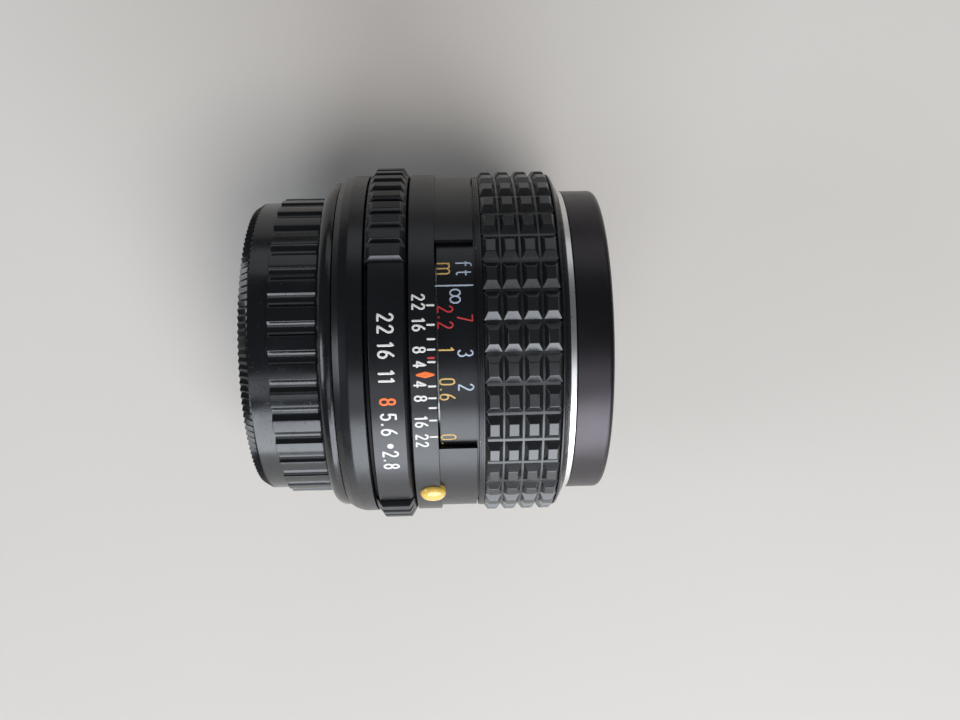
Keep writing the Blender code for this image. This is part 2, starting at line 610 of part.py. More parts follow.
def make_index_bead():
    """The raised amber bead that lines up with the camera's mark."""
    base = R_DEPTH - BEAD_SEAT
    rise = BEAD_SEAT + BEAD_RISE
    outline = [(0, 0), (0, BEAD_RADIUS), (BEAD_SEAT, BEAD_RADIUS)]
    for step in (1, 2, 3):
        turn = math.pi / 2 * step / 3
        outline.append((BEAD_SEAT + BEAD_RISE * math.sin(turn), BEAD_RADIUS * math.cos(turn)))
    outline[-1] = (rise, 0)
    bead = add_piece("index_bead", spin_profile(outline, 16, closed=False), AMBER)
    bead.location = place(X_SLEEVE - BEAD_RADIUS / 2, base, BEAD_ANGLE)
    bead.rotation_euler = place(0, 1, BEAD_ANGLE).to_track_quat("X", "Z").to_euler()


def make_guide_keys():
    for index, angle in enumerate(KEY_ANGLES):
        bar(f"guide_key_{index + 1}", X_SLEEVE - KEY_LENGTH / 2, X_SLEEVE + KEY_LENGTH / 2,
            R_MOVING_BORE + GAP, HELICOID_RADIUS - GAP / 2, KEY_WIDTH, angle, BRASS)


def make_rear_baffle():
    back = -BAFFLE_THICKNESS - GAP
    tube("rear_baffle", back, -GAP, BAFFLE_INNER_RADIUS, R_BAFFLE, INNER_BLACK)


def make_stop_down_lever():
    """The ring inside the mount that carries the lever worked by the camera."""
    outer = THROAT_RADIUS - GAP
    ring = tube("stop_down_lever", X_LEVER_RING, X_LEVER_RING + LEVER_RING_THICKNESS,
                outer - LEVER_RING_WALL, outer, STEEL)
    arm = bar("lever arm", -LEVER_REACH, X_LEVER_RING + LEVER_RING_THICKNESS / 2, R_LEVER - LEVER_DEPTH,
              R_LEVER, LEVER_WIDTH, LEVER_ANGLE)
    unite(ring, arm)


def make_lever_spring():
    """The coil spring that draws the stop-down lever back, lying beside the lever ring."""
    middle = place(X_LEVER_RING + LEVER_RING_THICKNESS + SPRING_FORWARD, THROAT_RADIUS + SPRING_OUT,
                   SPRING_ANGLE)
    along = place(0, SPRING_LENGTH, SPRING_ANGLE + 90)
    across = place(0, SPRING_COIL_RADIUS, SPRING_ANGLE)
    forward = Vector((SPRING_COIL_RADIUS, 0, 0))
    curve = bpy.data.curves.new("lever_spring", "CURVE")
    curve.dimensions = "3D"
    curve.bevel_depth = SPRING_WIRE_RADIUS
    curve.bevel_resolution = 0
    curve.use_fill_caps = True
    line = curve.splines.new("POLY")
    steps = SPRING_TURNS * SPRING_STEPS
    line.points.add(steps)
    for index in range(steps + 1):
        turn = math.tau * index / SPRING_STEPS
        point = middle + along * (index / steps - 0.5)
        point += forward * math.cos(turn) + across * math.sin(turn)
        line.points[index].co = (*point, 1)
    spring = bpy.data.objects.new("lever_spring", curve)
    bpy.context.scene.collection.objects.link(spring)
    give_finish(spring, STEEL)


def make_focus_ring():
    """The focusing ring: scale skirt, flange, the tube under the rubber, and the front rim."""
    bore = R_BRIGHT + GAP
    profile = [(X_SLEEVE + GAP, R_SKIRT_BORE), (X_NUT_FRONT, R_SKIRT_BORE), (X_NUT_FRONT, bore),
               (X_RIM_FRONT, bore), (X_RIM_FRONT, bore + GAP), (X_RIM + RIM_EDGE, R_SKIRT + RIM_STEP),
               (X_RIM, R_SKIRT + RIM_STEP),
               (X_RIM, R_SKIRT), (X_GRIP, R_SKIRT), (X_GRIP, R_SKIRT + FLANGE_STEP),
               (X_FLANGE, R_SKIRT + FLANGE_STEP), (X_FLANGE, R_SKIRT), (X_SLEEVE + GAP, R_SKIRT)]
    ring = turned("focus_ring", profile, BLACK_PAINT, SHELL_SIDES)
    middle = X_GRIP + SET_SCREW_SETBACK
    for index in range(SET_SCREW_COUNT):
        angle = SET_SCREW_START + index * 360 / SET_SCREW_COUNT
        cut(ring, rod(f"set screw hole {index + 1}", place(middle, R_SKIRT_BORE - MM, angle),
                      place(middle, R_SKIRT + MM, angle), SET_SCREW_RADIUS + GAP))
        rod(f"focus_set_screw_{index + 1}", place(middle, R_FIXED + GAP / 2, angle),
            place(middle, R_SKIRT, angle), SET_SCREW_RADIUS, STEEL)


def make_focus_helicoid():
    """The threaded brass nut inside the focusing ring, which drives the moving barrel."""
    tube("focus_helicoid", X_SLEEVE + GAP, X_NUT_FRONT - GAP, R_FIXED_BORE, R_FIXED, BRASS, SHELL_SIDES)


def make_grip_rubber():
    tube("grip_rubber", X_GRIP + GAP, X_RIM - GAP, R_SKIRT + GAP, R_SKIRT + GAP + RUBBER_WALL, RUBBER,
         SHELL_SIDES)


def make_moving_barrel():
    back = X_SLEEVE - MOVING_TAIL
    barrel = tube("moving_barrel", back, X_MOVING_FRONT, R_MOVING_BORE, HELICOID_RADIUS, ALUMINIUM,
                  SHELL_SIDES)
    for index, angle in enumerate(KEY_ANGLES):
        slot_front = X_SLEEVE + KEY_LENGTH / 2 + FOCUS_TRAVEL_OUT + GAP
        cut(barrel, bar(f"key slot {index + 1}", back - MM, slot_front, R_MOVING_BORE - MM,
                        HELICOID_RADIUS + MM, KEY_WIDTH + 2 * GAP, angle))


def make_bright_band():
    """The bare aluminium sleeve that shows behind the front barrel as the optics move out."""
    back = X_NUT_FRONT + GAP + FOCUS_TRAVEL_IN
    tube("bright_band", back, X_FRONT_BARREL, HELICOID_RADIUS + GAP, R_BRIGHT, ALUMINIUM, SHELL_SIDES)


def make_front_barrel():
    back = X_FRONT_BARREL + GAP
    seat = X_MOVING_FRONT + GAP
    edge = FRONT_BARREL_CHAMFER
    wall = R_FRONT_BARREL - FRONT_BARREL_WALL
    profile = [(back, HELICOID_RADIUS + GAP), (seat, HELICOID_RADIUS + GAP), (seat, wall),
               (X_FRONT - edge, wall), (X_FRONT, wall + edge), (X_FRONT, R_FRONT_BARREL - edge),
               (X_FRONT - edge, R_FRONT_BARREL), (back, R_FRONT_BARREL)]
    turned("front_barrel", profile, BLACK_ANODISED, SHELL_SIDES)


def sag(curve, radius):
    """How far back a lens surface lies at a radius, from its middle; negative if it lies in front."""
    depth = abs(curve) - math.sqrt(curve * curve - radius * radius)
    return math.copysign(depth, curve)


def rim_rise(curve, rim, inner):
    """How far a surface stands in front of its middle, at most, between two radii; usually negative."""
    return max(-sag(curve, rim), -sag(curve, inner))


def make_element(name, middle, rim, front_curve, rear_curve, thickness):
    """A lens element with its front middle at a place; returns the front and rear of its edge."""
    steps = 2
    front = [(middle - sag(front_curve, rim * step / steps), rim * step / steps)
             for step in range(steps + 1)]
    rear = [(middle - thickness - sag(rear_curve, rim * step / steps), rim * step / steps)
            for step in reversed(range(steps + 1))]
    add_piece(name, spin_profile(front + rear, GLASS_SIDES, closed=False), GLASS)
    return front[-1][0], rear[0][0]


def make_front_group():
    """The three elements in front of the iris, their cell and their retaining rings."""
    cover_front = iris_stack()[1] + IRIS_PLATE
    names, rims, fronts, rears, depths = zip(*FRONT_GLASS)
    third = cover_front + GAP + depths[2]
    second = third + FRONT_AIR[1] + depths[1]
    first = second + FRONT_AIR[0] + depths[0]
    edges = [make_element(names[index], middle, rims[index], fronts[index], rears[index], depths[index])
             for index, middle in enumerate((first, second, third))]
    bores = [rim + GLASS_GAP for rim in rims]
    seats = [edge[1] - GAP for edge in edges]
    retainer_bores = [rim - RETAINER_WALL for rim in rims]
    retainer_backs = [middle + rim_rise(fronts[index], rims[index], retainer_bores[index]) + GAP
                      for index, middle in enumerate((first, second))]
    cell_front = retainer_backs[0] + RETAINER_LENGTH
    cell_back = cover_front + GAP
    web_front = seats[0]
    web_back = seats[0] - CELL_WEB
    lip = bores[2] - CELL_LIP
    profile = [(cell_front, bores[0]), (seats[0], bores[0]), (seats[0], bores[1]), (seats[1], bores[1]),
               (seats[1], bores[2]), (seats[2], bores[2]), (seats[2], lip), (cell_back, lip),
               (cell_back, bores[1] + CELL_WALL), (web_back, bores[1] + CELL_WALL),
               (web_back, R_MOVING_BORE - GAP), (web_front, R_MOVING_BORE - GAP),
               (web_front, bores[0] + CELL_WALL), (cell_front, bores[0] + CELL_WALL)]
    turned("front_cell", profile, INNER_BLACK)
    tube("front_retainer", retainer_backs[0], cell_front, retainer_bores[0], rims[0], INNER_BLACK)
    tube("inner_retainer", retainer_backs[1], retainer_backs[1] + INNER_RETAINER_LENGTH,
         retainer_bores[1], rims[1] + RETAINER_WALL, INNER_BLACK)
    ring_inner = bores[0] + CELL_WALL + GAP
    ring_outer = R_FRONT_BARREL - FRONT_BARREL_WALL - GAP
    inner_front = cell_front - GAP
    outer_back = X_MOVING_FRONT + GAP
    turned("front_name_ring", [(inner_front - NAME_RING_THICKNESS, ring_inner), (inner_front, ring_inner),
                               (outer_back + NAME_RING_THICKNESS, ring_outer), (outer_back, ring_outer)],
           INNER_BLACK)


def make_rear_group():
    """The four elements behind the iris, their spacers, cell and retaining ring."""
    edge = IRIS_BACK - GAP
    bore = REAR_RIM_RADIUS + GLASS_GAP
    ring_bore = REAR_RIM_RADIUS - RETAINER_WALL
    rises = [rim_rise(glass[1], REAR_RIM_RADIUS, ring_bore) for glass in REAR_GLASS]
    for index, (name, front_curve, rear_curve, thickness) in enumerate(REAR_GLASS):
        middle = edge - GAP - rises[index]
        make_element(name, middle, REAR_RIM_RADIUS, front_curve, rear_curve, thickness)
        rear_drop = max(sag(rear_curve, REAR_RIM_RADIUS), sag(rear_curve, ring_bore))
        edge = middle - thickness - rear_drop - GAP
        if index < len(REAR_AIR):
            bulge = max(0, -rear_drop - rises[index + 1])
            spacer = bulge + REAR_AIR[index] - 2 * GAP
            tube(f"lens_spacer_{index + 1}", edge - spacer, edge,
                 ring_bore, REAR_RIM_RADIUS, INNER_BLACK, GLASS_SIDES)
            edge -= spacer
    cell_back = edge - RETAINER_LENGTH
    tube("rear_cell", cell_back, IRIS_BACK - GAP, bore, bore + CELL_WALL, INNER_BLACK, GLASS_SIDES)
    tube("rear_retainer", cell_back, edge, ring_bore, REAR_RIM_RADIUS, INNER_BLACK, GLASS_SIDES)


def build_lens():
    clear_scene()
    make_rear_cap()
    make_bayonet_mount()
    make_mount_screws()
    make_main_barrel()
    make_rear_barrel()
    make_click()
    make_rear_baffle()
    make_stop_down_lever()
    make_lever_spring()
    make_aperture_ring()
    make_aperture_link()
    make_depth_scale_sleeve()
    make_index_bead()
    make_guide_keys()
    make_focus_ring()
    make_focus_helicoid()
    make_grip_rubber()
    make_moving_barrel()
    make_bright_band()
    make_front_barrel()
    make_front_group()
    make_rear_group()
    make_iris_housing()
    make_cam_ring()
    for index in range(BLADE_COUNT):
        make_blade(index)


build_lens()
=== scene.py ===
"""The looks of a wide-angle f/2.8 prime lens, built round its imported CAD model.

The optical axis is the X axis, with the front of the lens towards +X, and X = 0 is the flange face of
the bayonet mount. Angles are in degrees round the axis, from +Z towards -Y. Lengths are in
millimetres up to the point where a shape is drawn.
"""
import json
import math

import bpy
from mathutils import Matrix, Vector

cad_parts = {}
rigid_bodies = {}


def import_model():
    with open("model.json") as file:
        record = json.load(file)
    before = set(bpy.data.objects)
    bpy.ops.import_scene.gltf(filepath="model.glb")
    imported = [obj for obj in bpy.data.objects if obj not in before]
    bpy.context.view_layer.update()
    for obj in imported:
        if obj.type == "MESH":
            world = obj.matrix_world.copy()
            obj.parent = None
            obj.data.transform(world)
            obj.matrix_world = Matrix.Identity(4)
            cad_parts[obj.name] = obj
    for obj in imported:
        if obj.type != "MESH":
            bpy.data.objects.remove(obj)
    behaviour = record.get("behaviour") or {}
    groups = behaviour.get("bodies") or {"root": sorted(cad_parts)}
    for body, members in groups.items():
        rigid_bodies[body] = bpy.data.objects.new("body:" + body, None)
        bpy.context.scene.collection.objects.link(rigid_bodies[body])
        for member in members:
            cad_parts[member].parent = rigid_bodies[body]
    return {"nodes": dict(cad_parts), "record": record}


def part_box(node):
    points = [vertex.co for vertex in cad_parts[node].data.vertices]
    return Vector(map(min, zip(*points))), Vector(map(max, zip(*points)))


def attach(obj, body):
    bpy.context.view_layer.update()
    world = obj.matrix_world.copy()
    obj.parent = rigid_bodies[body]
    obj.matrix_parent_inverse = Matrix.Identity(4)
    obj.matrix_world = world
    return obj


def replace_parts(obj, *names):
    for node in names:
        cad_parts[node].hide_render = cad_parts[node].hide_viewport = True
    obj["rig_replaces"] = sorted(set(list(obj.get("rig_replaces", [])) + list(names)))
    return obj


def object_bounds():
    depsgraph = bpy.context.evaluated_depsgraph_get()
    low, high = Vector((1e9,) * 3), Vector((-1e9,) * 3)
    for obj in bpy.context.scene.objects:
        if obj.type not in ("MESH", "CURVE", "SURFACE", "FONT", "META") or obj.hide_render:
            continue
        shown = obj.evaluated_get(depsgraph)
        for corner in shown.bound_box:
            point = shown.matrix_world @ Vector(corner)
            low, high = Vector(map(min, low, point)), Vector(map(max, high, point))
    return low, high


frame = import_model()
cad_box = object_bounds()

MM = 0.001
STEPS = 192                       # round the larger rings
SEAM = 0.002 * MM                 # points closer than this are merged
SMOOTH = math.radians(35)         # edges flatter than this are shaded smooth
CAP_TEETH = 134
TOOTH_DEPTH = 0.42
CAP_LANDS = 36                    # between the finger flutes
FLUTE_START = 9.3                 # degrees, of the first land
RIB_CREST = 31.45                 # radius at the top of the aperture ring's ribs
GRIP_ROWS = 38                    # of rubber blocks, round the grip
PAINT_HEIGHT = 0.03               # that the painted marks stand proud by
LETTER_GAP = 0.38                 # between characters, for a height of one

# Marks painted on the rings: words, place along the axis, angle
APERTURE_WHITE = (("22", 8.35, -5.8), ("16", 8.35, 2.05), ("11", 8.35, 9.55), ("5.6", 8.35, 24.5),
                  ("2.8", 8.35, 37.7))
APERTURE_ORANGE = (("8", 8.35, 17.2),)
DEPTH_WHITE = (("22", 13.42, -11.95), ("16", 13.42, -5.2), ("8", 13.42, 2.1), ("4", 13.45, 6.3),
               ("4", 13.42, 12.2), ("8", 13.42, 16.6), ("16", 13.42, 24.2), ("22", 13.42, 30.8))
DEPTH_TICKS = (-10.87, -5.12, -0.95, 2.09, 5.71, 12.94, 16.57, 19.66, 23.74, 29.47)
METRES_AMBER = (("1", 17.55, 2.2), ("0.6", 17.55, 15.0), ("0.4", 17.55, 34.7), ("0.3", 17.55, 62.0))
METRES_RED = (("2.2", 17.5, -7.8),)
METRES_SIGN = (("m", 17.8, -23.8),)
FEET_PALE = (("3", 20.5, 3.6), ("2", 20.5, 14.4), ("1.25", 20.5, 42.0), ("1", 20.5, 61.0))
FEET_RED = (("7", 20.55, -7.3),)
FEET_SIGN = (("ft", 20.6, -23.8),)


def span(node):
    """A round CAD node's back and front along the axis, and its outside radius."""
    low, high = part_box(node)
    return low.x / MM, high.x / MM, high.z / MM


def place(x, radius, angle):
    """The point at a distance along the axis, a radius and an angle."""
    turn = math.radians(angle)
    return Vector((x, -radius * math.sin(turn), radius * math.cos(turn))) * MM


def about_axis(angle):
    """A turn round the optical axis."""
    return Matrix.Rotation(math.radians(angle), 4, "X")


# Modelling ------------------------------------------------------------------------------------------

def eased(corners, steps=3):
    """Points of an outline. A corner with a third number is rounded by that much."""
    points = []
    for index, corner in enumerate(corners):
        spot = Vector(corner[:2])
        if len(corner) == 2:
            points.append(tuple(spot))
            continue
        before = (Vector(corners[index - 1][:2]) - spot).normalized() * corner[2]
        after = (Vector(corners[(index + 1) % len(corners)][:2]) - spot).normalized() * corner[2]
        for step in range(steps + 1):
            share = step / steps
            points.append(tuple(spot + before * (1 - share) ** 2 + after * share ** 2))
    return points


def draw(name, points, closed=True):
    """A new piece, still in edit mode, that is one line through (x, radius) points above the axis."""
    bpy.ops.object.select_all(action="DESELECT")
    x, radius = points[0]
    bpy.ops.mesh.primitive_plane_add(size=MM, location=(x * MM, 0, radius * MM))
    piece = bpy.context.object
    piece.name = piece.data.name = name
    bpy.ops.object.mode_set(mode="EDIT")
    bpy.ops.mesh.select_mode(type="VERT")
    bpy.ops.mesh.select_all(action="SELECT")
    bpy.ops.mesh.merge(type="CENTER")
    for next_x, next_radius in points[1:] + points[:1] if closed else points[1:]:
        move = ((next_x - x) * MM, 0, (next_radius - radius) * MM)
        bpy.ops.mesh.extrude_vertices_move(TRANSFORM_OT_translate={"value": move})
        x, radius = next_x, next_radius
    return piece


def close_up(piece):
    """Merge a piece's seams, turn its faces outwards, put its place in its mesh and shade it."""
    bpy.ops.mesh.select_all(action="SELECT")
    bpy.ops.mesh.remove_doubles(threshold=SEAM)
    bpy.ops.mesh.normals_make_consistent(inside=False)
    bpy.ops.object.mode_set(mode="OBJECT")
    bpy.ops.object.transform_apply(location=True, rotation=True, scale=True)
    bpy.ops.object.shade_smooth_by_angle(angle=SMOOTH)
    return piece


def turn(name, corners, steps=STEPS, closed=True):
    """A ring or disc: an outline spun all the way round the optical axis."""
    piece = draw(name, eased(corners), closed)
    bpy.ops.mesh.select_all(action="SELECT")
    bpy.ops.mesh.spin(steps=steps, angle=math.tau, center=(0, 0, 0), axis=(1, 0, 0))
    return close_up(piece)


def sector(name, corners, start, end, steps):
    """Part of a ring, from one angle to another, with closed ends."""
    piece = draw(name, eased(corners))
    bpy.ops.mesh.select_all(action="SELECT")
    bpy.ops.mesh.remove_doubles(threshold=SEAM)
    bpy.ops.mesh.select_all(action="SELECT")
    bpy.ops.mesh.edge_face_add()
    bpy.ops.mesh.spin(steps=steps, angle=math.radians(end - start), center=(0, 0, 0), axis=(-1, 0, 0))
    close_up(piece)
    piece.data.transform(about_axis(start))
    return piece


def ridge(name, back, front, bottom, top, width, slopes, edge):
    """A raised block straight above the axis. Its top is shorter than its foot by the slopes: behind,
    ahead and on either side."""
    behind, ahead, beside = slopes
    bpy.ops.object.select_all(action="DESELECT")
    middle = ((back + front) / 2 * MM, 0, (bottom + top) / 2 * MM)
    bpy.ops.mesh.primitive_cube_add(size=MM, location=middle, scale=(front - back, width, top - bottom))
    piece = bpy.context.object
    piece.name = piece.data.name = name
    bpy.ops.object.transform_apply(location=True, rotation=True, scale=True)
    for vertex in piece.data.vertices:
        vertex.select = vertex.co.z > middle[2]
    for line in piece.data.edges:
        line.select = all(piece.data.vertices[index].select for index in line.vertices)
    for face in piece.data.polygons:
        face.select = all(piece.data.vertices[index].select for index in face.vertices)
    bpy.ops.object.mode_set(mode="EDIT")
    length = front - back
    bpy.ops.transform.resize(value=((length - behind - ahead) / length, (width - 2 * beside) / width, 1),
                             center_override=middle)
    bpy.ops.transform.translate(value=((behind - ahead) / 2 * MM, 0, 0))
    bpy.ops.mesh.select_all(action="SELECT")
    bpy.ops.mesh.bevel(offset=edge * MM, segments=2, affect="EDGES")
    return close_up(piece)


def bar(name, section, back, front, edge):
    """A bar along the axis with a cross-section given as (angle, radius) points."""
    points = [place(back, radius, angle) for angle, radius in section]
    bpy.ops.object.select_all(action="DESELECT")
    bpy.ops.mesh.primitive_plane_add(size=MM, location=points[0])
    piece = bpy.context.object
    piece.name = piece.data.name = name
    bpy.ops.object.mode_set(mode="EDIT")
    bpy.ops.mesh.select_mode(type="VERT")
    bpy.ops.mesh.select_all(action="SELECT")
    bpy.ops.mesh.merge(type="CENTER")
    for last, point in zip(points, points[1:] + points[:1]):
        bpy.ops.mesh.extrude_vertices_move(TRANSFORM_OT_translate={"value": point - last})
    bpy.ops.mesh.select_all(action="SELECT")
    bpy.ops.mesh.remove_doubles(threshold=SEAM)
    bpy.ops.mesh.select_all(action="SELECT")
    bpy.ops.mesh.edge_face_add()
    bpy.ops.mesh.extrude_region_move(TRANSFORM_OT_translate={"value": ((front - back) * MM, 0, 0)})
    bpy.ops.mesh.select_all(action="SELECT")
    bpy.ops.mesh.normals_make_consistent(inside=False)
    bpy.ops.object.mode_set(mode="OBJECT")
    bpy.ops.object.transform_apply(location=True, rotation=True, scale=True)
    modifier = piece.modifiers.new("edges", "BEVEL")
    modifier.width = edge * MM
    modifier.segments = 2
    modifier.limit_method = "ANGLE"
    modifier.angle_limit = math.radians(40)
    bpy.ops.object.modifier_apply(modifier=modifier.name)
    bpy.ops.object.shade_smooth_by_angle(angle=SMOOTH)
    return piece


def join(pieces):
    """Make several pieces one, with the name of the first."""
    bpy.ops.object.select_all(action="DESELECT")
    for piece in pieces:
        piece.select_set(True)
    bpy.context.view_layer.objects.active = pieces[0]
    bpy.ops.object.join()
    return pieces[0]


def copy_to(piece, name, matrix):
    """A copy of a piece with its own mesh, moved by a matrix."""
    twin = piece.copy()
    twin.data = piece.data.copy()
    twin.name = twin.data.name = name
    bpy.context.scene.collection.objects.link(twin)
    twin.data.transform(matrix)
    return twin


def all_round(piece, angles):
    """Copies of a piece at each angle round the axis, joined."""
    name = piece.name
    copies = [copy_to(piece, f"{name}_{index}", about_axis(angle)) for index, angle in enumerate(angles)]
    bpy.data.objects.remove(piece)
    ring = join(copies)
    ring.name = ring.data.name = name
    return ring


def cut(piece, cutter):
    """Cut one piece's shape out of another."""
    modifier = piece.modifiers.new("cut", "BOOLEAN")
    modifier.operation = "DIFFERENCE"
    modifier.solver = "EXACT"
    modifier.object = cutter
    bpy.ops.object.select_all(action="DESELECT")
    piece.select_set(True)
    bpy.context.view_layer.objects.active = piece
    bpy.ops.object.modifier_apply(modifier=modifier.name)
    bpy.data.objects.remove(cutter)
    bpy.ops.object.shade_smooth_by_angle(angle=SMOOTH)


def even_shading(piece):
    """Let the large faces of a piece set its shading, so that they look flat or truly round."""
    bpy.ops.object.select_all(action="DESELECT")
    piece.select_set(True)
    bpy.context.view_layer.objects.active = piece
    bpy.ops.object.modifier_add(type="WEIGHTED_NORMAL")
    piece.modifiers[-1].keep_sharp = True
    bpy.ops.object.modifier_apply(modifier=piece.modifiers[-1].name)


# Engraved and painted marks -------------------------------------------------------------------------

def bow(x, y, wide, high, start, end, steps=12):
    """Points of an oval's arc, with its middle at (x, y). Angles are anticlockwise from the right."""
    turns = [math.radians(start + (end - start) * step / steps) for step in range(steps + 1)]
    return [(x + wide * math.cos(turn), y + high * math.sin(turn)) for turn in turns]


def line(*points):
    """A stroke through points, divided so that it can follow a curved surface."""
    stroke = [points[0]]
    for (x0, y0), (x1, y1) in zip(points, points[1:]):
        parts = max(1, round(math.hypot(x1 - x0, y1 - y0) / 0.12))
        stroke += [(x0 + (x1 - x0) * k / parts, y0 + (y1 - y0) * k / parts) for k in range(1, parts + 1)]
    return stroke


# The strokes of each character, one unit high, from its left edge, and the character's width
CHARACTERS = {
    "0": (0.42, [bow(0.21, 0.74, 0.21, 0.26, 0, 180) + bow(0.21, 0.26, 0.21, 0.26, 180, 360) + [(0.42, 0.74)]]),
    "1": (0.14, [line((0, 0.84), (0.14, 1), (0.14, 0))]),
    "2": (0.42, [bow(0.21, 0.75, 0.21, 0.25, 165, -30) + line((0.39, 0.62), (0, 0))[1:] + line((0, 0), (0.42, 0))]),
    "3": (0.42, [bow(0.2, 0.76, 0.19, 0.24, 150, -80) + bow(0.2, 0.27, 0.22, 0.27, 82, -150)]),
    "4": (0.46, [line((0.33, 0), (0.33, 1), (0, 0.27), (0.46, 0.27))]),
    "5": (0.42, [line((0.38, 1), (0.06, 1), (0.03, 0.54)) + bow(0.21, 0.31, 0.21, 0.31, 135, -150)]),
    "6": (0.42, [bow(0.21, 0.28, 0.21, 0.28, -180, 180, 20), line((0, 0.28), (0.03, 0.5), (0.12, 0.76), (0.3, 1))]),
    "7": (0.42, [line((0, 1), (0.42, 1), (0.14, 0))]),
    "8": (0.42, [bow(0.21, 0.76, 0.18, 0.24, -90, 270, 20), bow(0.21, 0.27, 0.21, 0.27, -90, 270, 20)]),
    ".": (0.0, [bow(0, 0.06, 0.02, 0.03, 0, 360, 6)]),
    "m": (0.6, [line((0, 0), (0, 0.66)), bow(0.15, 0.5, 0.15, 0.18, 180, 0) + line((0.3, 0.5), (0.3, 0)),
                bow(0.45, 0.5, 0.15, 0.18, 180, 0) + line((0.6, 0.5), (0.6, 0))]),
    "f": (0.24, [line((0.08, 0), (0.08, 0.76)) + bow(0.22, 0.76, 0.14, 0.2, 180, 75), line((0, 0.6), (0.24, 0.6))]),
    "t": (0.24, [line((0.08, 0.9), (0.08, 0.2)) + bow(0.2, 0.2, 0.12, 0.18, 180, 280), line((0, 0.6), (0.24, 0.6))]),
}


def strokes_of(words, size, width=1.0):
    """The strokes of some words in a reading direction, centred, for a character height."""
    strokes = []
    across = 0
    for character in words:
        wide, shapes = CHARACTERS[character]
        strokes += [[((across + x) * size * width, (y - 0.5) * size) for x, y in shape] for shape in shapes]
        across += wide + LETTER_GAP
    half = (across - LETTER_GAP) * size * width / 2
    return [[(x - half, y) for x, y in stroke] for stroke in strokes]


def painted(name, marks, radius, weight):
    """Marks laid on a drum: (strokes, x, angle) each, drawn with a round cutter of a width."""
    curve = bpy.data.curves.new(name, "CURVE")
    curve.dimensions = "3D"
    curve.bevel_depth = weight / 2
    curve.bevel_resolution = 2
    curve.use_fill_caps = True
    for strokes, x, angle in marks:
        middle = math.radians(angle) * radius
        for stroke in strokes:
            spline = curve.splines.new("POLY")
            spline.points.add(len(stroke) - 1)
            for point, (along, up) in zip(spline.points, stroke):
                point.co = (middle + along, x + up, 0, 1)
    piece = bpy.data.objects.new(name, curve)
    bpy.context.scene.collection.objects.link(piece)
    bpy.ops.object.select_all(action="DESELECT")
    piece.select_set(True)
    bpy.context.view_layer.objects.active = piece
    bpy.ops.object.convert(target="MESH")
    piece = bpy.context.object
    ends = []
    for strokes, x, angle in marks:
        for stroke in strokes:
            for along, up in (stroke[0], stroke[-1]):
                ends.append((math.radians(angle) * radius + along, x + up))
    bpy.ops.object.select_all(action="DESELECT")
    bpy.ops.mesh.primitive_uv_sphere_add(segments=12, ring_count=6, radius=weight / 2)
    dot = bpy.context.object
    dots = [copy_to(dot, f"{name}_end_{index}", Matrix.Translation((along, up, 0)))
            for index, (along, up) in enumerate(ends)]
    bpy.data.objects.remove(dot)
    piece = join([piece] + dots)
    piece.name = piece.data.name = name
    flat = PAINT_HEIGHT / (weight / 2)
    for vertex in piece.data.vertices:
        along, up, out = vertex.co
        vertex.co = place(up, radius + out * flat, math.degrees(along / radius))
    piece.data.shade_smooth()
    return piece


# Materials ------------------------------------------------------------------------------------------

class Signal:
    """A value or colour on its way through a material's nodes. Sums on values add Math nodes."""

    def __init__(self, finish, node, output):
        self.finish, self.node, self.socket = finish, node, node.outputs[output]

    def output(self, name):
        return Signal(self.finish, self.node, name)

    def maths(self, operation, first, second=0.5):
        return self.finish.add("ShaderNodeMath", {"operation": operation}, {0: first, 1: second})

    def __add__(self, other):
        return self.maths("ADD", self, other)

    def __sub__(self, other):
        return self.maths("SUBTRACT", self, other)

    def __rsub__(self, other):
        return self.maths("SUBTRACT", other, self)

    def __mul__(self, other):
        return self.maths("MULTIPLY", self, other)

    __radd__, __rmul__ = __add__, __mul__

    def __truediv__(self, other):
        return self.maths("DIVIDE", self, other)

    def __pow__(self, other):
        return self.maths("POWER", self, other)


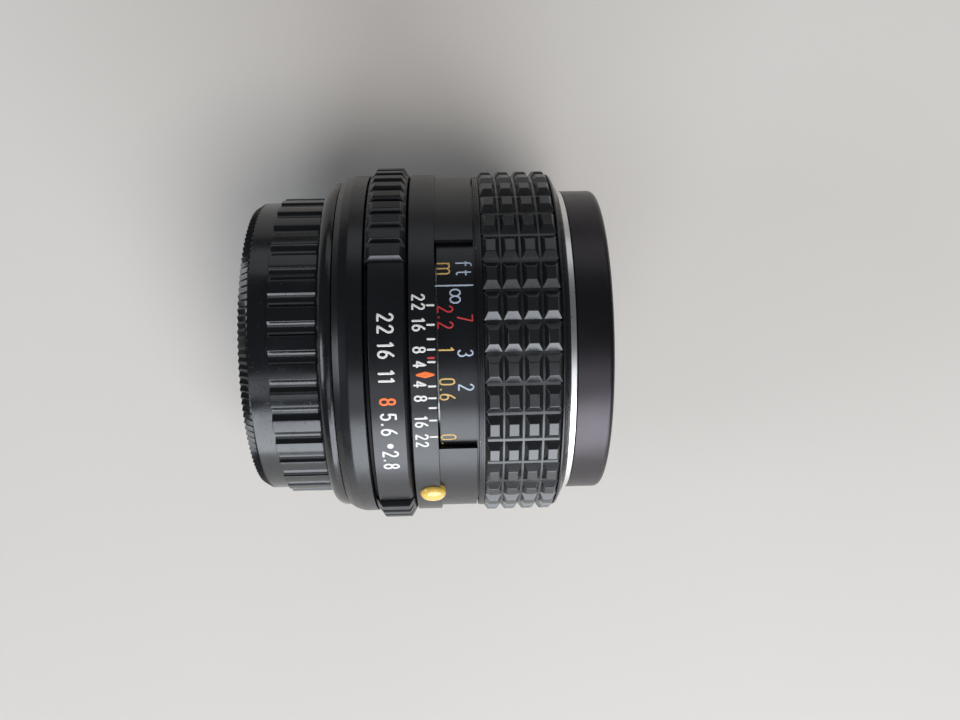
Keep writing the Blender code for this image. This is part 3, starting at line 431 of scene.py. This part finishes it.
class Finish:
    """A material under construction."""

    def __init__(self, name):
        self.material = bpy.data.materials.new(name)
        self.material.use_nodes = True
        self.nodes = self.material.node_tree.nodes
        self.links = self.material.node_tree.links
        self.shader = self.nodes["Principled BSDF"]
        self.spot = self.add("ShaderNodeTexCoord", output="Object")

    def join(self, socket, value):
        """Give a socket a value or colour, or link it to one."""
        if isinstance(value, Signal):
            self.links.new(value.socket, socket)
        elif isinstance(value, tuple) and len(value) == 3 and socket.type == "RGBA":
            socket.default_value = (*value, 1)
        else:
            socket.default_value = value

    def add(self, kind, settings=None, sockets=None, output=0):
        """Add a node: its settings, the values or links of its sockets, and the output that is used."""
        node = self.nodes.new(kind)
        for name, value in (settings or {}).items():
            setattr(node, name, value)
        for name, value in (sockets or {}).items():
            self.join(node.inputs[name], value)
        return Signal(self, node, output)

    def set(self, **values):
        """Set the shader's own sockets; underscores stand for spaces."""
        for name, value in values.items():
            self.join(self.shader.inputs[name.replace("_", " ")], value)

    def noise(self, scale, detail=3.0, roughness=0.55, stretch=None):
        """A noise between 0 and 1, with about this many grains in a millimetre."""
        spot = self.spot
        if stretch:
            spot = self.add("ShaderNodeMapping", None, {"Vector": spot, "Scale": stretch})
        return self.add("ShaderNodeTexNoise", None, {"Vector": spot, "Scale": scale / MM, "Detail": detail,
                                                     "Roughness": roughness})

    def between(self, value, low, high):
        """0 where a value is low, 1 where it is high, and smooth in between."""
        return self.add("ShaderNodeMapRange", {"interpolation_type": "SMOOTHSTEP"},
                        {"Value": value, "From Min": low, "From Max": high})

    def mix(self, share, first, second):
        """A colour that goes from the first to the second with a share."""
        return self.add("ShaderNodeMix", {"data_type": "RGBA"}, {0: share, 6: first, 7: second}, 2)

    def round_about(self):
        """Distance along the axis and from it, in millimetres, and the angle round it in turns."""
        parts = self.add("ShaderNodeSeparateXYZ", None, {0: self.spot}, "X")
        x, y, z = parts * (1 / MM), parts.output("Y"), parts.output("Z")
        radius = (y * y + z * z) ** 0.5 * (1 / MM)
        angle = self.add("ShaderNodeMath", {"operation": "ARCTAN2"}, {0: y * -1, 1: z}) / math.tau
        return x, radius, angle

    def lathe_lines(self, pitch):
        """Fine rings left by a lathe, with this pitch, on any face of a turned piece."""
        x, radius, angle = self.round_about()
        where = self.add("ShaderNodeCombineXYZ", None, {"X": (x + radius * 1.3) / pitch, "Y": angle * 2})
        return self.add("ShaderNodeTexNoise", None, {"Vector": where, "Scale": 1.0, "Detail": 2.0})

    def bump(self, height, depth):
        """Raise the surface by a height times a depth in millimetres."""
        return self.add("ShaderNodeBump", None, {"Height": height, "Distance": depth * MM, "Strength": 1.0})


def worn_black(name, colour, roughness, edges=(), grain=0.004, metallic=0.0):
    """Satin black paint or anodising: fine grain, faint rub marks, and metal showing where a band of
    radii and places along the axis has been handled. Each edge is (x, radius, reach)."""
    finish = Finish(name)
    x, radius, _ = finish.round_about()
    cloud = finish.noise(0.12, 4)
    rub = finish.between(finish.noise(0.35, 5, 0.7), 0.5, 0.8)
    speck = finish.between(finish.noise(2.2, 2, 0.6), 0.74, 0.78)
    tone = finish.mix(cloud, tuple(0.8 * part for part in colour), tuple(1.25 * part for part in colour))
    tone = finish.mix(speck * 0.2, tone, (0.2, 0.2, 0.2))
    shine = roughness - 0.05 + 0.09 * cloud + 0.07 * rub + 0.2 * speck
    bare = None
    for place_x, place_radius, reach in edges:
        away = ((x - place_x) * (x - place_x) + (radius - place_radius) * (radius - place_radius)) ** 0.5
        near = finish.between(away, reach, reach * 0.3)
        bare = near if bare is None else bare + near
    if bare is not None:
        worn = finish.between(bare * finish.noise(0.9, 5, 0.65), 0.63, 0.67)
        tone = finish.mix(worn, tone, (0.42, 0.40, 0.37))
        shine = shine - worn * 0.1
        finish.set(Metallic=worn * (0.9 - metallic) + metallic)
    else:
        finish.set(Metallic=metallic)
    finish.set(Base_Color=tone, Roughness=shine, Normal=finish.bump(finish.noise(9, 2), grain))
    finish.set(Specular_IOR_Level=0.5)
    return finish.material


def cap_plastic():
    """Glossy black moulding, with fine scratches and finger marks."""
    finish = Finish("cap_plastic")
    smear = finish.between(finish.noise(0.16, 5, 0.6), 0.45, 0.75)
    scratch = finish.between(finish.noise(0.7, 2, 0.5, stretch=(9, 1, 1)), 0.66, 0.7)
    cross = finish.between(finish.noise(0.6, 2, 0.5, stretch=(1, 7, 2)), 0.68, 0.71)
    dust = finish.between(finish.noise(2.6, 2, 0.6), 0.73, 0.77)
    marks = scratch + cross
    tone = finish.mix(dust * 0.25, (0.004, 0.005, 0.006), (0.2, 0.2, 0.2))
    finish.set(Base_Color=tone, Roughness=0.17 + smear * 0.12 + marks * 0.12 + dust * 0.3,
               Normal=finish.bump(finish.noise(0.35, 3) * 0.5 + marks * -0.2 + finish.noise(5, 2) * 0.03, 0.014))
    finish.set(Specular_IOR_Level=0.55)
    return finish.material


def grip_rubber():
    """Moulded rubber: dull, with dust in the grooves and a slight polish on the tops."""
    finish = Finish("grip_rubber")
    _, radius, _ = finish.round_about()
    _, _, outside = span("grip_rubber")
    top = finish.between(radius, outside - 0.35, outside - 0.05)
    floor = finish.between(radius, outside - 0.6, outside - 0.9)
    cloud = finish.noise(0.3, 4, 0.6)
    dust = finish.between(finish.noise(0.4, 3, 0.6), 0.35, 0.75) * floor
    speck = finish.between(finish.noise(2.4, 2, 0.6), 0.73, 0.77)
    tone = finish.mix(cloud, (0.006, 0.007, 0.008), (0.011, 0.012, 0.013))
    tone = finish.mix(dust * 0.3 + speck * 0.2, tone, (0.05, 0.05, 0.048))
    finish.set(Base_Color=tone, Roughness=0.22 - 0.03 * top + 0.06 * cloud + 0.12 * dust,
               Normal=finish.bump(finish.noise(7, 3), 0.004))
    finish.set(Specular_IOR_Level=0.7)
    return finish.material


def turned_metal(name, colour, roughness, pitch=0.12, depth=0.004, stains=0.0):
    """Bare metal off a lathe, with rings in it, and stains or wear marks."""
    finish = Finish(name)
    lines = finish.lathe_lines(pitch)
    cloud = finish.noise(0.25, 4, 0.6)
    mark = finish.between(finish.noise(1.1, 4, 0.7), 0.62, 0.68) * stains
    tone = finish.mix(cloud, tuple(0.86 * part for part in colour), colour)
    tone = finish.mix(mark, tone, (0.10, 0.09, 0.085))
    finish.set(Base_Color=tone, Roughness=roughness - 0.06 + 0.1 * lines + 0.08 * cloud + 0.25 * mark,
               Metallic=1.0, Normal=finish.bump(lines, depth))
    return finish.material


def inner_black():
    """Dead black paint on the inside, over turned anti-glare rings."""
    finish = Finish("inner_black")
    cloud = finish.noise(0.5, 4)
    tone = finish.mix(cloud, (0.010, 0.010, 0.011), (0.022, 0.022, 0.023))
    height = finish.lathe_lines(0.3) + finish.noise(6, 3) * 0.4
    finish.set(Base_Color=tone, Roughness=0.62 + 0.2 * cloud, Normal=finish.bump(height, 0.012))
    return finish.material


def enamel(name, colour):
    """Paint filled into engraved marks, slightly uneven and rubbed."""
    finish = Finish(name)
    cloud = finish.noise(1.5, 4, 0.6)
    chip = finish.between(finish.noise(3.5, 3, 0.6), 0.68, 0.74)
    tone = finish.mix(cloud, tuple(0.82 * part for part in colour), colour)
    tone = finish.mix(chip * 0.6, tone, tuple(0.35 * part for part in colour))
    finish.set(Base_Color=tone, Roughness=0.42 + 0.2 * cloud, Normal=finish.bump(cloud, 0.01))
    return finish.material


def amber_bead():
    """Clear amber plastic, polished."""
    finish = Finish("amber_bead")
    cloud = finish.noise(0.6, 3)
    tone = finish.mix(cloud, (0.56, 0.36, 0.06), (0.68, 0.46, 0.10))
    finish.set(Base_Color=tone, Roughness=0.1 + 0.1 * cloud, Subsurface_Weight=0.35,
               Subsurface_Radius=(0.9, 0.5, 0.1), Subsurface_Scale=1.2 * MM, Coat_Weight=0.5)
    finish.set(Normal=finish.bump(finish.noise(1.2, 2), 0.004))
    return finish.material


def coated_glass(name, tint):
    """Optical glass with a thin coating, and a faint haze."""
    finish = Finish(name)
    haze = finish.between(finish.noise(0.12, 2, 0.5), 0.4, 0.8)
    finish.set(Base_Color=finish.mix(haze, (0.93, 0.96, 0.97), (0.89, 0.92, 0.93)),
               Roughness=0.004 + 0.008 * haze, Transmission_Weight=1.0, IOR=1.6,
               Specular_Tint=(*tint, 1))
    return finish.material


# The pieces -----------------------------------------------------------------------------------------

def dress(piece, material, body, slot, *nodes):
    """Give a piece its material, the CAD nodes that it stands for and the body that it rides on."""
    piece.data.materials.clear()
    piece.data.materials.append(material)
    even_shading(piece)
    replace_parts(piece, *nodes)
    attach(piece, body)


def mark_up(piece, material, body):
    """The same for painted marks, which stand for no CAD node."""
    piece.data.materials.append(material)
    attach(piece, body)


def make_rear_cap(material):
    """The moulded cap: a toothed rear edge, finger flutes, a flared lip and three lugs inside."""
    back, _, lip = span("rear_cap")
    band, drum = lip - 3.35, lip - 2.6
    shoulder = -2.95
    outside = [(back, band - 0.85), (back + 1.4, band), (back + 1.7, band), (shoulder - 0.15, band, 0.1),
               (shoulder, drum - 0.3), (shoulder + 0.3, 27.5), (-2.3, 28.25), (-1.95, 28.6), (-1.5, lip - 0.18),
               (-1.05, lip - 0.05, 0.05), (-0.6, lip, 0.1), (-0.12, lip - 0.2, 0.12)]
    inside = [(-0.12, 25.2, 0.1), (-1.1, 25.1), (-1.1, 24.4), (back + 1.5, 24.3, 0.6), (back + 1.5, 14.0),
              (back + 1.2, 13.6), (back + 1.2, 0)]
    rear = [(back + 0.25, 0), (back + 0.25, 19.6, 0.15), (back + 0.02, 20.0, 0.1), (back + 0.02, 23.6, 0.1),
            (back + 0.2, 23.9, 0.1)]
    cap = turn("rear_cap_shell", rear + outside + inside, steps=2 * CAP_TEETH, closed=False)
    half_tooth = 180 / CAP_TEETH
    for vertex in cap.data.vertices:
        x, radius = vertex.co.x / MM, math.hypot(vertex.co.y, vertex.co.z) / MM
        on_edge = abs(x - back) < 0.01 and radius > band - 1
        on_band = abs(x - back - 1.4) < 0.01 and radius > band - 0.1
        turn_here = math.degrees(math.atan2(-vertex.co.y, vertex.co.z)) / half_tooth
        valley = round(turn_here) % 2
        if valley and (on_edge or on_band):
            shrink = (radius - TOOTH_DEPTH) / radius
            vertex.co.y *= shrink
            vertex.co.z *= shrink
            vertex.co.x += 0.12 * MM if on_edge else -0.1 * MM
    bpy.ops.object.shade_smooth_by_angle(angle=math.radians(24))
    half_flute, depth = math.radians(2.55) * drum, drum - band
    flute = (half_flute ** 2 + depth ** 2) / (2 * depth)
    reach = math.asin(half_flute / flute)
    side = []
    for step in range(7):
        swing = reach * (1 - step / 6)
        along = 5 - math.degrees(flute * math.sin(swing) / drum)
        side.append((along, band - 0.02 + flute * (1 - math.cos(swing))))
    crown = [(-side[0][0] + 2 * side[0][0] * step / 4, drum) for step in range(1, 4)]
    section = [(-angle, radius) for angle, radius in reversed(side)] + crown + side
    section += [(5, band - 0.5), (-5, band - 0.5)]
    land = bar("cap_land", section, back + 4.85, shoulder + 0.12, 0.1)
    lands = all_round(land, [FLUTE_START + 360 / CAP_LANDS * index for index in range(CAP_LANDS)])
    lugs = [sector(f"cap_lug_{index}", [(-3.1, 23.3, 0.2), (-1.7, 23.3, 0.2), (-1.7, 24.9), (-3.1, 24.9)],
                   38 + index * 120, 82 + index * 120, 24) for index in range(3)]
    cap = join([cap, lands] + lugs)
    dress(cap, material, "cap", "cap_plastic", "rear_cap")


def make_mount(chrome, steel):
    """The bayonet: a flange with three claws, held by five countersunk screws."""
    back, front, outside = span("bayonet_mount")
    ring = turn("bayonet_flange", [(back, 22.0, 0.1), (0.9, 22.0), (front, 22.3), (front, outside),
                                   (0, outside, 0.12), (0, 23.2, 0.15), (-0.35, 22.95), (back, 22.95, 0.15)])
    claws = [sector(f"claw_{index}", [(back, 22.5), (-3.15, 22.5), (-3.15, 24.0, 0.15), (back, 23.9, 0.2)],
                    index * 120 - 28, index * 120 + 28, 40) for index in range(3)]
    screws = []
    for index in range(1, 6):
        low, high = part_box(f"mount_screw_{index}")
        middle = (low + high) / 2
        screws.append((index, Vector((0, middle.y, middle.z))))
    for index, middle in screws:
        bpy.ops.object.select_all(action="DESELECT")
        bpy.ops.mesh.primitive_cone_add(vertices=48, radius1=1.75 * MM, radius2=1.25 * MM, depth=1.2 * MM,
                                        location=middle + Vector((0.35 * MM, 0, 0)),
                                        rotation=(0, math.pi / 2, 0))
        cut(ring, bpy.context.object)
    dress(join([ring] + claws), chrome, "fixed_barrel", "chrome", "bayonet_mount")
    for index, middle in screws:
        screw = turn(f"flange_screw_{index}", [(0.16, 0), (0.14, 0.7), (0.24, 1.2, 0.1), (0.85, 1.0), (2.6, 0.7),
                                               (2.8, 0)], steps=48, closed=False)
        screw.data.transform(Matrix.Translation(middle))
        for turned in (20 * index, 20 * index + 90):
            bpy.ops.object.select_all(action="DESELECT")
            bpy.ops.mesh.primitive_cube_add(size=MM, location=middle + Vector((0.2 * MM, 0, 0)),
                                            scale=(0.8, 0.26, 1.35), rotation=(math.radians(turned), 0, 0))
            cut(screw, bpy.context.object)
        dress(screw, steel, "fixed_barrel", "bright_steel", f"mount_screw_{index}")


def make_rear_details(black, glass):
    """What shows inside the mount: the baffle, the rear cell and the last element."""
    back, front, outside = span("rear_baffle")
    dress(turn("rear_baffle_plate", [(back, 13.5, 0.1), (front, 13.8, 0.1), (front, outside, 0.1),
                                     (back, outside, 0.1), (back, 15.2), (back + 0.15, 15.0), (back + 0.15, 14.2),
                                     (back, 14.0)]), black, "fixed_barrel", "inner_black", "rear_baffle")
    back, front, outside = span("rear_retainer")
    ring = turn("rear_retaining_ring",
                [(back, 7.85, 0.1), (front, 7.8), (front, outside), (back, outside, 0.1)], 96)
    for angle in (40, 220):
        notch = sector("notch", [(back - 1, 8.2), (back + 0.45, 8.2), (back + 0.45, 10.2), (back - 1, 10.2)],
                       angle - 5, angle + 5, 4)
        cut(ring, notch)
    dress(ring, black, "optical_unit", "inner_black", "rear_retainer")
    back, front, outside = span("rear_cell")
    dress(turn("rear_cell_tube", [(back, 9.25, 0.1), (front, 9.25), (front, outside), (back, outside, 0.25)], 96),
          black, "optical_unit", "inner_black", "rear_cell")
    dress(lens_blank("rear_glass", "lens_element_7", 50, -70, 2.8), glass, "optical_unit", "lens_glass",
          "lens_element_7")


def sag(curve, radius):
    """How far back a lens surface lies at a radius, from its middle; negative if it lies in front."""
    return math.copysign(abs(curve) - math.sqrt(curve * curve - radius * radius), curve)


def lens_blank(name, node, front_curve, rear_curve, thickness):
    """A polished element in the place of a CAD node, with the curves that it is ground to."""
    _, front, rim = span(node)
    middle = front if front_curve > 0 else front + sag(front_curve, rim)
    rear = middle - thickness
    stations = [rim * step / 12 for step in range(13)]
    points = [(middle - sag(front_curve, radius), radius) for radius in stations]
    points += [(rear - sag(rear_curve, radius), radius) for radius in reversed(stations)]
    return turn(name, points, 96, closed=False)


def make_rear_collar(material):
    """The fixed collar behind the aperture ring."""
    _, front, outside = span("rear_barrel")
    front += 0.3
    dress(turn("rear_collar", [(0, 28.95, 0.05), (1.7, 28.95), (1.7, 27.3), (front, 27.3),
                               (front, outside - 0.2), (front - 0.05, outside, 0.1), (2.4, outside, 0.25),
                               (1.0, 29.75, 0.12), (0.0, 29.1, 0.06)]),
          material, "fixed_barrel", "black_paint", "rear_barrel")


def make_aperture_ring(material, white, orange):
    """The aperture ring, with ribs all round but for its numerals."""
    back, front, band = span("aperture_ring")
    back += 0.2
    base = turn("aperture_control_ring",
                [(back, 27.6), (front, 27.6), (front, band - 0.75, 0.1), (front - 0.7, band, 0.12),
                 (5.7, band, 0.1), (5.5, band - 1.5, 0.1), (back, band - 1.6)])
    bed = sector("rib_bed", [(back + 0.02, band - 0.9), (front - 0.1, band - 0.9), (front - 0.1, band - 0.4),
                             (front - 0.7, band + 0.25), (back + 0.7, band + 0.25), (back + 0.02, band - 0.4)],
                 60.4, 335.6, 180)
    foot, crest = math.degrees(1.26 / band), math.degrees(0.78 / band)
    rib = bar("rib", [(-foot, band - 0.6), (-foot, band + 0.2), (-crest, RIB_CREST), (crest, RIB_CREST),
                      (foot, band + 0.2), (foot, band - 0.6)], back, front - 0.02, 0.09)
    for vertex in rib.data.vertices:
        climb = vertex.co.z / MM - band + 0.6
        vertex.co.x += (0.72 if vertex.co.x < (back + front) / 2 * MM else -0.6) * climb * MM
    ribs = all_round(rib, [63 + 6 * index for index in range(46)])
    dress(join([base, bed, ribs]), material, "aperture_control", "black_paint", "aperture_ring")
    size, weight = 2.3, 0.38
    numerals = [(strokes_of(words, size), x, angle) for words, x, angle in APERTURE_WHITE]
    click_dot = ([bow(0, 0, 0.34, 0.34, 0, 360), bow(0, 0, 0.15, 0.15, 0, 360)], 8.4, 32.1)
    mark_up(painted("aperture_numerals", numerals + [click_dot], band, weight),
            white, "aperture_control")
    mark_up(painted("aperture_numeral_eight", [(strokes_of(words, size), x, angle)
                                               for words, x, angle in APERTURE_ORANGE], band, weight),
            orange, "aperture_control")


def make_depth_scale(material, bead_material, white, orange, red):
    """The fixed ring with the depth scale, the guard ahead of it and the bead for mounting by feel."""
    back, front, ring = span("depth_scale_sleeve")
    sleeve, shelf, bore = ring - 0.6, back + 4.1, ring - 1.35
    band = turn("depth_scale_ring", [(back, bore), (shelf, bore), (shelf, ring, 0.12), (back, ring, 0.12)])
    guard = sector("sleeve_guard", [(shelf - 0.4, bore), (front, bore), (front, sleeve, 0.1), (shelf - 0.4, sleeve)],
                   35.2, 327, 170)
    low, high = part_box("index_bead")
    bead_angle = 56.3
    bead_x = (low.x + high.x) / 2 / MM - 0.2
    whole = join([band, guard])
    dress(whole, material, "fixed_barrel", "black_paint", "depth_scale_sleeve")
    dome = turn("index_dot", [(-0.6, 0), (-0.6, 2.15), (0.15, 2.15, 0.1), (0.5, 2.0), (0.8, 1.68), (1.02, 1.15),
                              (1.15, 0.55), (1.18, 0)], 64, closed=False)
    stand = Matrix.Rotation(math.radians(-90), 4, "Y")
    dome.data.transform(about_axis(bead_angle) @ Matrix.Translation((bead_x * MM, 0, ring * MM)) @ stand)
    dress(dome, bead_material, "fixed_barrel", "amber_plastic", "index_bead")
    size = 1.82
    numerals = [(strokes_of(words, size), x, angle) for words, x, angle in DEPTH_WHITE]
    ticks = [([line((0, -0.5), (0, 0.5))], 15.25, angle) for angle in DEPTH_TICKS]
    mark_up(painted("depth_numerals", numerals + ticks, ring, 0.33), white, "fixed_barrel")
    mark_up(painted("infrared_mark", [([line((0, -0.45), (0, 0.45))], 15.2, 4.5)], ring, 0.33),
            red, "fixed_barrel")
    diamond = [[line((0, -1.35 + 0.3 * k), (0.38 - 0.1 * k, 0), (0, 1.35 - 0.3 * k), (-0.38 + 0.1 * k, 0),
                     (0, -1.35 + 0.3 * k)) for k in (0, 1, 2)]]
    mark_up(painted("focus_index", [(diamond[0], 14.25, 9.46)], ring, 0.3), orange, "fixed_barrel")


def make_focusing(paint, rubber, amber, pale, red):
    """The focusing ring with its distance scale, and the rubber grip in rows of blocks."""
    back, front, rim = span("focus_ring")
    skirt = rim - 1.4
    flange, flange_top = 22.45, skirt + 1.2
    front -= 0.45
    outline = [(back, skirt - 1.2), (31.5, skirt - 1.2), (31.5, 27.35), (front, 27.35, 0.05), (front, 27.6, 0.05),
               (front - 1.2, rim, 0.12), (front - 1.5, rim, 0.05), (front - 1.5, skirt), (23.4, skirt),
               (23.4, flange_top, 0.08), (23.12, flange_top), (23.08, flange_top - 0.12), (22.98, flange_top - 0.12),
               (22.94, flange_top), (22.78, flange_top), (22.74, flange_top - 0.12), (22.66, flange_top - 0.12),
               (22.62, flange_top), (flange, flange_top, 0.08), (flange, skirt), (back, skirt)]
    dress(turn("focusing_ring", outline), paint, "focusing", "black_paint", "focus_ring")
    back, front, top = span("grip_rubber")
    floor = top - 0.9
    strip = turn("rubber_strip", [(back, skirt + 0.05), (front, skirt + 0.05), (front, floor, 0.1),
                                  (back, floor, 0.1)])
    pitch = 360 / GRIP_ROWS
    columns = ((23.5, 26.2), (26.5, 29.27), (29.63, 32.4), (32.75, 35.45))
    blocks = []
    for index, (start, end) in enumerate(columns):
        block = ridge(f"block_{index}", start - 0.1, end + 0.1, floor - 0.15, top - 0.02, 4.6,
                      (0.72, 0.72, 1.22), 0.09)
        blocks.append(all_round(block, [-10.5 + pitch * row for row in range(GRIP_ROWS)]))
    dress(join([strip] + blocks), rubber, "focusing", "grip_rubber", "grip_rubber")
    size, weight = 2.3, 0.27
    stop = [line((0, -2.9), (0, 2.9))]
    loops = [bow(-0.55, 0, 0.55, 0.78, 0, 360, 20), bow(0.55, 0, 0.55, 0.78, 0, 360, 20)]
    metres_sign = [(strokes_of(words, 2.75, 1.1), x, angle) for words, x, angle in METRES_SIGN]
    feet_sign = [(strokes_of(words, 2.5, 1.05), x, angle) for words, x, angle in FEET_SIGN]
    infinity = [(stop, 19.0, -17.9), (loops, 19.1, -14.4)]
    for name, marks, extra, enamel_used in (
            ("distance_metres", METRES_AMBER, metres_sign, amber),
            ("distance_metres_far", METRES_RED, [], red),
            ("distance_feet", FEET_PALE, infinity + feet_sign, pale),
            ("distance_feet_far", FEET_RED, [], red)):
        found = [(strokes_of(words, size, 0.92), x, angle) for words, x, angle in marks]
        mark_up(painted(name, found + extra, skirt, weight), enamel_used, "focusing")


def make_front(aluminium, anodised, ring_black, inner, glass):
    """The bright sleeve, the threaded rim, the trim ring and the front three elements."""
    back, front, outside = span("bright_band")
    front -= 0.4
    dress(turn("bright_sleeve", [(back, 25.6), (front, 25.6), (front, outside - 0.1, 0.05), (back, outside)]),
          aluminium, "optical_unit", "bare_aluminium", "bright_band")
    back, front, outside = span("front_barrel")
    wall = outside - 2.4
    thread = []
    pitch = 0.75
    for index in range(4):
        start = front - 0.55 - index * pitch
        thread += [(start, wall), (start - pitch * 0.35, wall), (start - pitch * 0.5, wall + 0.28),
                   (start - pitch * 0.65, wall + 0.28)]
    back -= 0.6
    outline = [(back, 25.6), (39.3, 25.6), (39.3, wall)] + list(reversed(thread))
    outline += [(front - 0.5, wall), (front, wall + 0.45, 0.1), (front, outside - 0.75, 0.3),
                (front - 0.35, outside - 0.2, 0.2), (front - 0.85, outside, 0.25),
                (back + 0.1, outside, 0.08), (back, outside - 0.12)]
    dress(turn("front_rim_barrel", outline), anodised, "optical_unit", "black_anodised", "front_barrel")
    back, front, outside = span("front_name_ring")
    inner_radius = 18.25
    slope = [(back, inner_radius), (back + 0.8, inner_radius, 0.1), (front - 0.1, outside, 0.1),
             (front - 0.75, outside)]
    dress(turn("front_trim_ring", slope), ring_black, "optical_unit", "black_anodised", "front_name_ring")
    back, front, outside = span("front_retainer")
    ring = turn("front_retaining_ring",
                [(back, 15.3), (front, 15.6, 0.1), (front, outside, 0.1), (back, outside)], 128)
    for angle in (20, 200):
        notch = sector("notch", [(front - 0.4, 15.9), (front + 1, 15.9), (front + 1, 17.5), (front - 0.4, 17.5)],
                       angle - 3, angle + 3, 4)
        cut(ring, notch)
    dress(ring, inner, "optical_unit", "inner_black", "front_retainer")
    for name, node, front_curve, rear_curve, thickness in (
            ("front_glass", "lens_element_1", 75, 30, 2.0),
            ("second_glass", "lens_element_2", 40, 18, 1.5),
            ("third_glass", "lens_element_3", 25, -30, 4.4)):
        dress(lens_blank(name, node, front_curve, rear_curve, thickness), glass, "optical_unit",
              "lens_glass", node)


def finish_inner_parts(looks):
    """Give the CAD parts that stay the finish of their own material."""
    replaced = {name for piece in bpy.data.objects for name in piece.get("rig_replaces", [])}
    slots = {part["node"]: part["material_slot"] for part in frame["record"]["subparts"]}
    for name, node in frame["nodes"].items():
        if name not in replaced:
            node.data.materials.clear()
            node.data.materials.append(looks[slots[name]])


def make_studio():
    """A pale table, soft light from a low window on the left and near side, and the camera above."""
    floor_height = cad_box[0].z - 0.02 * MM
    bpy.ops.object.select_all(action="DESELECT")
    bpy.ops.mesh.primitive_plane_add(size=3, location=(0, 0, floor_height))
    table = bpy.context.object
    table.name = "table"
    finish = Finish("pale_table")
    cloud = finish.noise(0.008, 3)
    finish.set(Base_Color=finish.mix(cloud, (0.582, 0.558, 0.527), (0.618, 0.594, 0.562)), Roughness=0.55)
    table.data.materials.append(finish.material)
    for name, spot, size, power, colour, seen in (
            ("window", (0.15, -1.0, 0.36), (1.3, 0.80), 20, (0.88, 0.93, 1.0), True),
            ("window_head", (0.1, -0.55, 1.0), (1.2, 0.35), 2.0, (0.90, 0.94, 1.0), True),
            ("left_wall", (-1.2, -0.2, 0.6), (0.5, 0.5), 4, (0.90, 0.95, 1.0), True),
            ("far_wall", (0.2, 1.2, 0.5), (1.4, 0.6), 1.8, (0.92, 0.96, 1.0), True),
            ("soft_ceiling", (0.46, -0.58, 1.3), (0.7, 0.7), 11, (1.0, 0.945, 0.89), False)):
        lamp = bpy.data.lights.new(name, "AREA")
        lamp.shape = "RECTANGLE"
        lamp.size, lamp.size_y = size
        lamp.energy = power
        lamp.color = colour
        holder = bpy.data.objects.new(name, lamp)
        holder.location = spot
        holder.rotation_euler = (-Vector(spot)).to_track_quat("-Z", "Y").to_euler()
        holder.visible_glossy = seen
        bpy.context.scene.collection.objects.link(holder)
    world = bpy.data.worlds.new("room")
    world.use_nodes = True
    world.node_tree.nodes["Background"].inputs["Color"].default_value = (0.86, 0.90, 1.0, 1)
    world.node_tree.nodes["Background"].inputs["Strength"].default_value = 0.12
    bpy.context.scene.world = world
    lens = bpy.data.cameras.new("camera")
    lens.lens, lens.sensor_width = 35.95, 36
    lens.clip_start = 0.01
    camera = bpy.data.objects.new("camera", lens)
    turn_in = Matrix.Rotation(math.radians(-1.127), 4, "X") @ Matrix.Rotation(math.radians(-1.505), 4, "Y") \
        @ Matrix.Rotation(math.radians(-1.336), 4, "Z")
    camera.matrix_world = Matrix.Translation((0.018829, 0, 0.176449)) @ turn_in
    bpy.context.scene.collection.objects.link(camera)
    bpy.context.scene.camera = camera
    bpy.context.scene.view_settings.view_transform = "Standard"


def build():
    """Mix the finishes, make every piece and set up the studio."""
    paint_colour = (0.0045, 0.0048, 0.006)
    collar_front, ring_back = span("rear_barrel")[1], span("aperture_ring")[0]
    paint = worn_black("black_paint", paint_colour, 0.30)
    collar_paint = worn_black("collar_paint", paint_colour, 0.28, [(collar_front + 0.3, 30.2, 0.2)])
    ring_paint = worn_black("ring_paint", paint_colour, 0.30, [(ring_back + 1.1, RIB_CREST, 0.4),
                                                              (ring_back + 6.0, RIB_CREST, 0.4)])
    focus_paint = worn_black("focus_paint", paint_colour, 0.28, [(36.0, 29.9, 0.25), (22.5, 29.7, 0.12)])
    anodised = worn_black("black_anodised", (0.056, 0.050, 0.054), 0.36, grain=0.003, metallic=1.0)
    trim = worn_black("trim_anodised", (0.014, 0.013, 0.015), 0.45)
    white = enamel("white_enamel", (0.66, 0.66, 0.64))
    orange = enamel("orange_enamel", (0.90, 0.17, 0.03))
    red = enamel("red_enamel", (0.50, 0.035, 0.04))
    amber = enamel("amber_enamel", (0.62, 0.42, 0.14))
    pale = enamel("pale_blue_enamel", (0.42, 0.50, 0.62))
    chrome = turned_metal("satin_chrome", (0.66, 0.66, 0.65), 0.22, 0.08, 0.003, 0.25)
    aluminium = turned_metal("bare_aluminium", (0.86, 0.85, 0.83), 0.30, 0.10, 0.003, 0.5)
    brass = turned_metal("brass", (0.62, 0.47, 0.22), 0.32)
    steel = turned_metal("bright_steel", (0.50, 0.50, 0.51), 0.28, 0.06, 0.002)
    blade = turned_metal("blade_steel", (0.07, 0.07, 0.075), 0.42, 0.2, 0.002)
    inner = inner_black()
    glass = coated_glass("lens_glass", (0.75, 0.55, 0.95))
    rubber = grip_rubber()
    cap = cap_plastic()
    bead = amber_bead()
    make_rear_cap(cap)
    make_mount(chrome, steel)
    make_rear_details(inner, glass)
    make_rear_collar(collar_paint)
    make_aperture_ring(ring_paint, white, orange)
    make_depth_scale(paint, bead, white, orange, red)
    make_focusing(focus_paint, rubber, amber, pale, red)
    make_front(aluminium, anodised, trim, inner, glass)
    finish_inner_parts({"black_paint": paint, "black_anodised": trim, "inner_black": inner, "cap_plastic": cap,
                        "grip_rubber": rubber, "bare_aluminium": aluminium, "brass": brass, "chrome": chrome,
                        "bright_steel": steel, "blade_steel": blade, "amber_plastic": bead,
                        "lens_glass": glass})
    make_studio()


build()
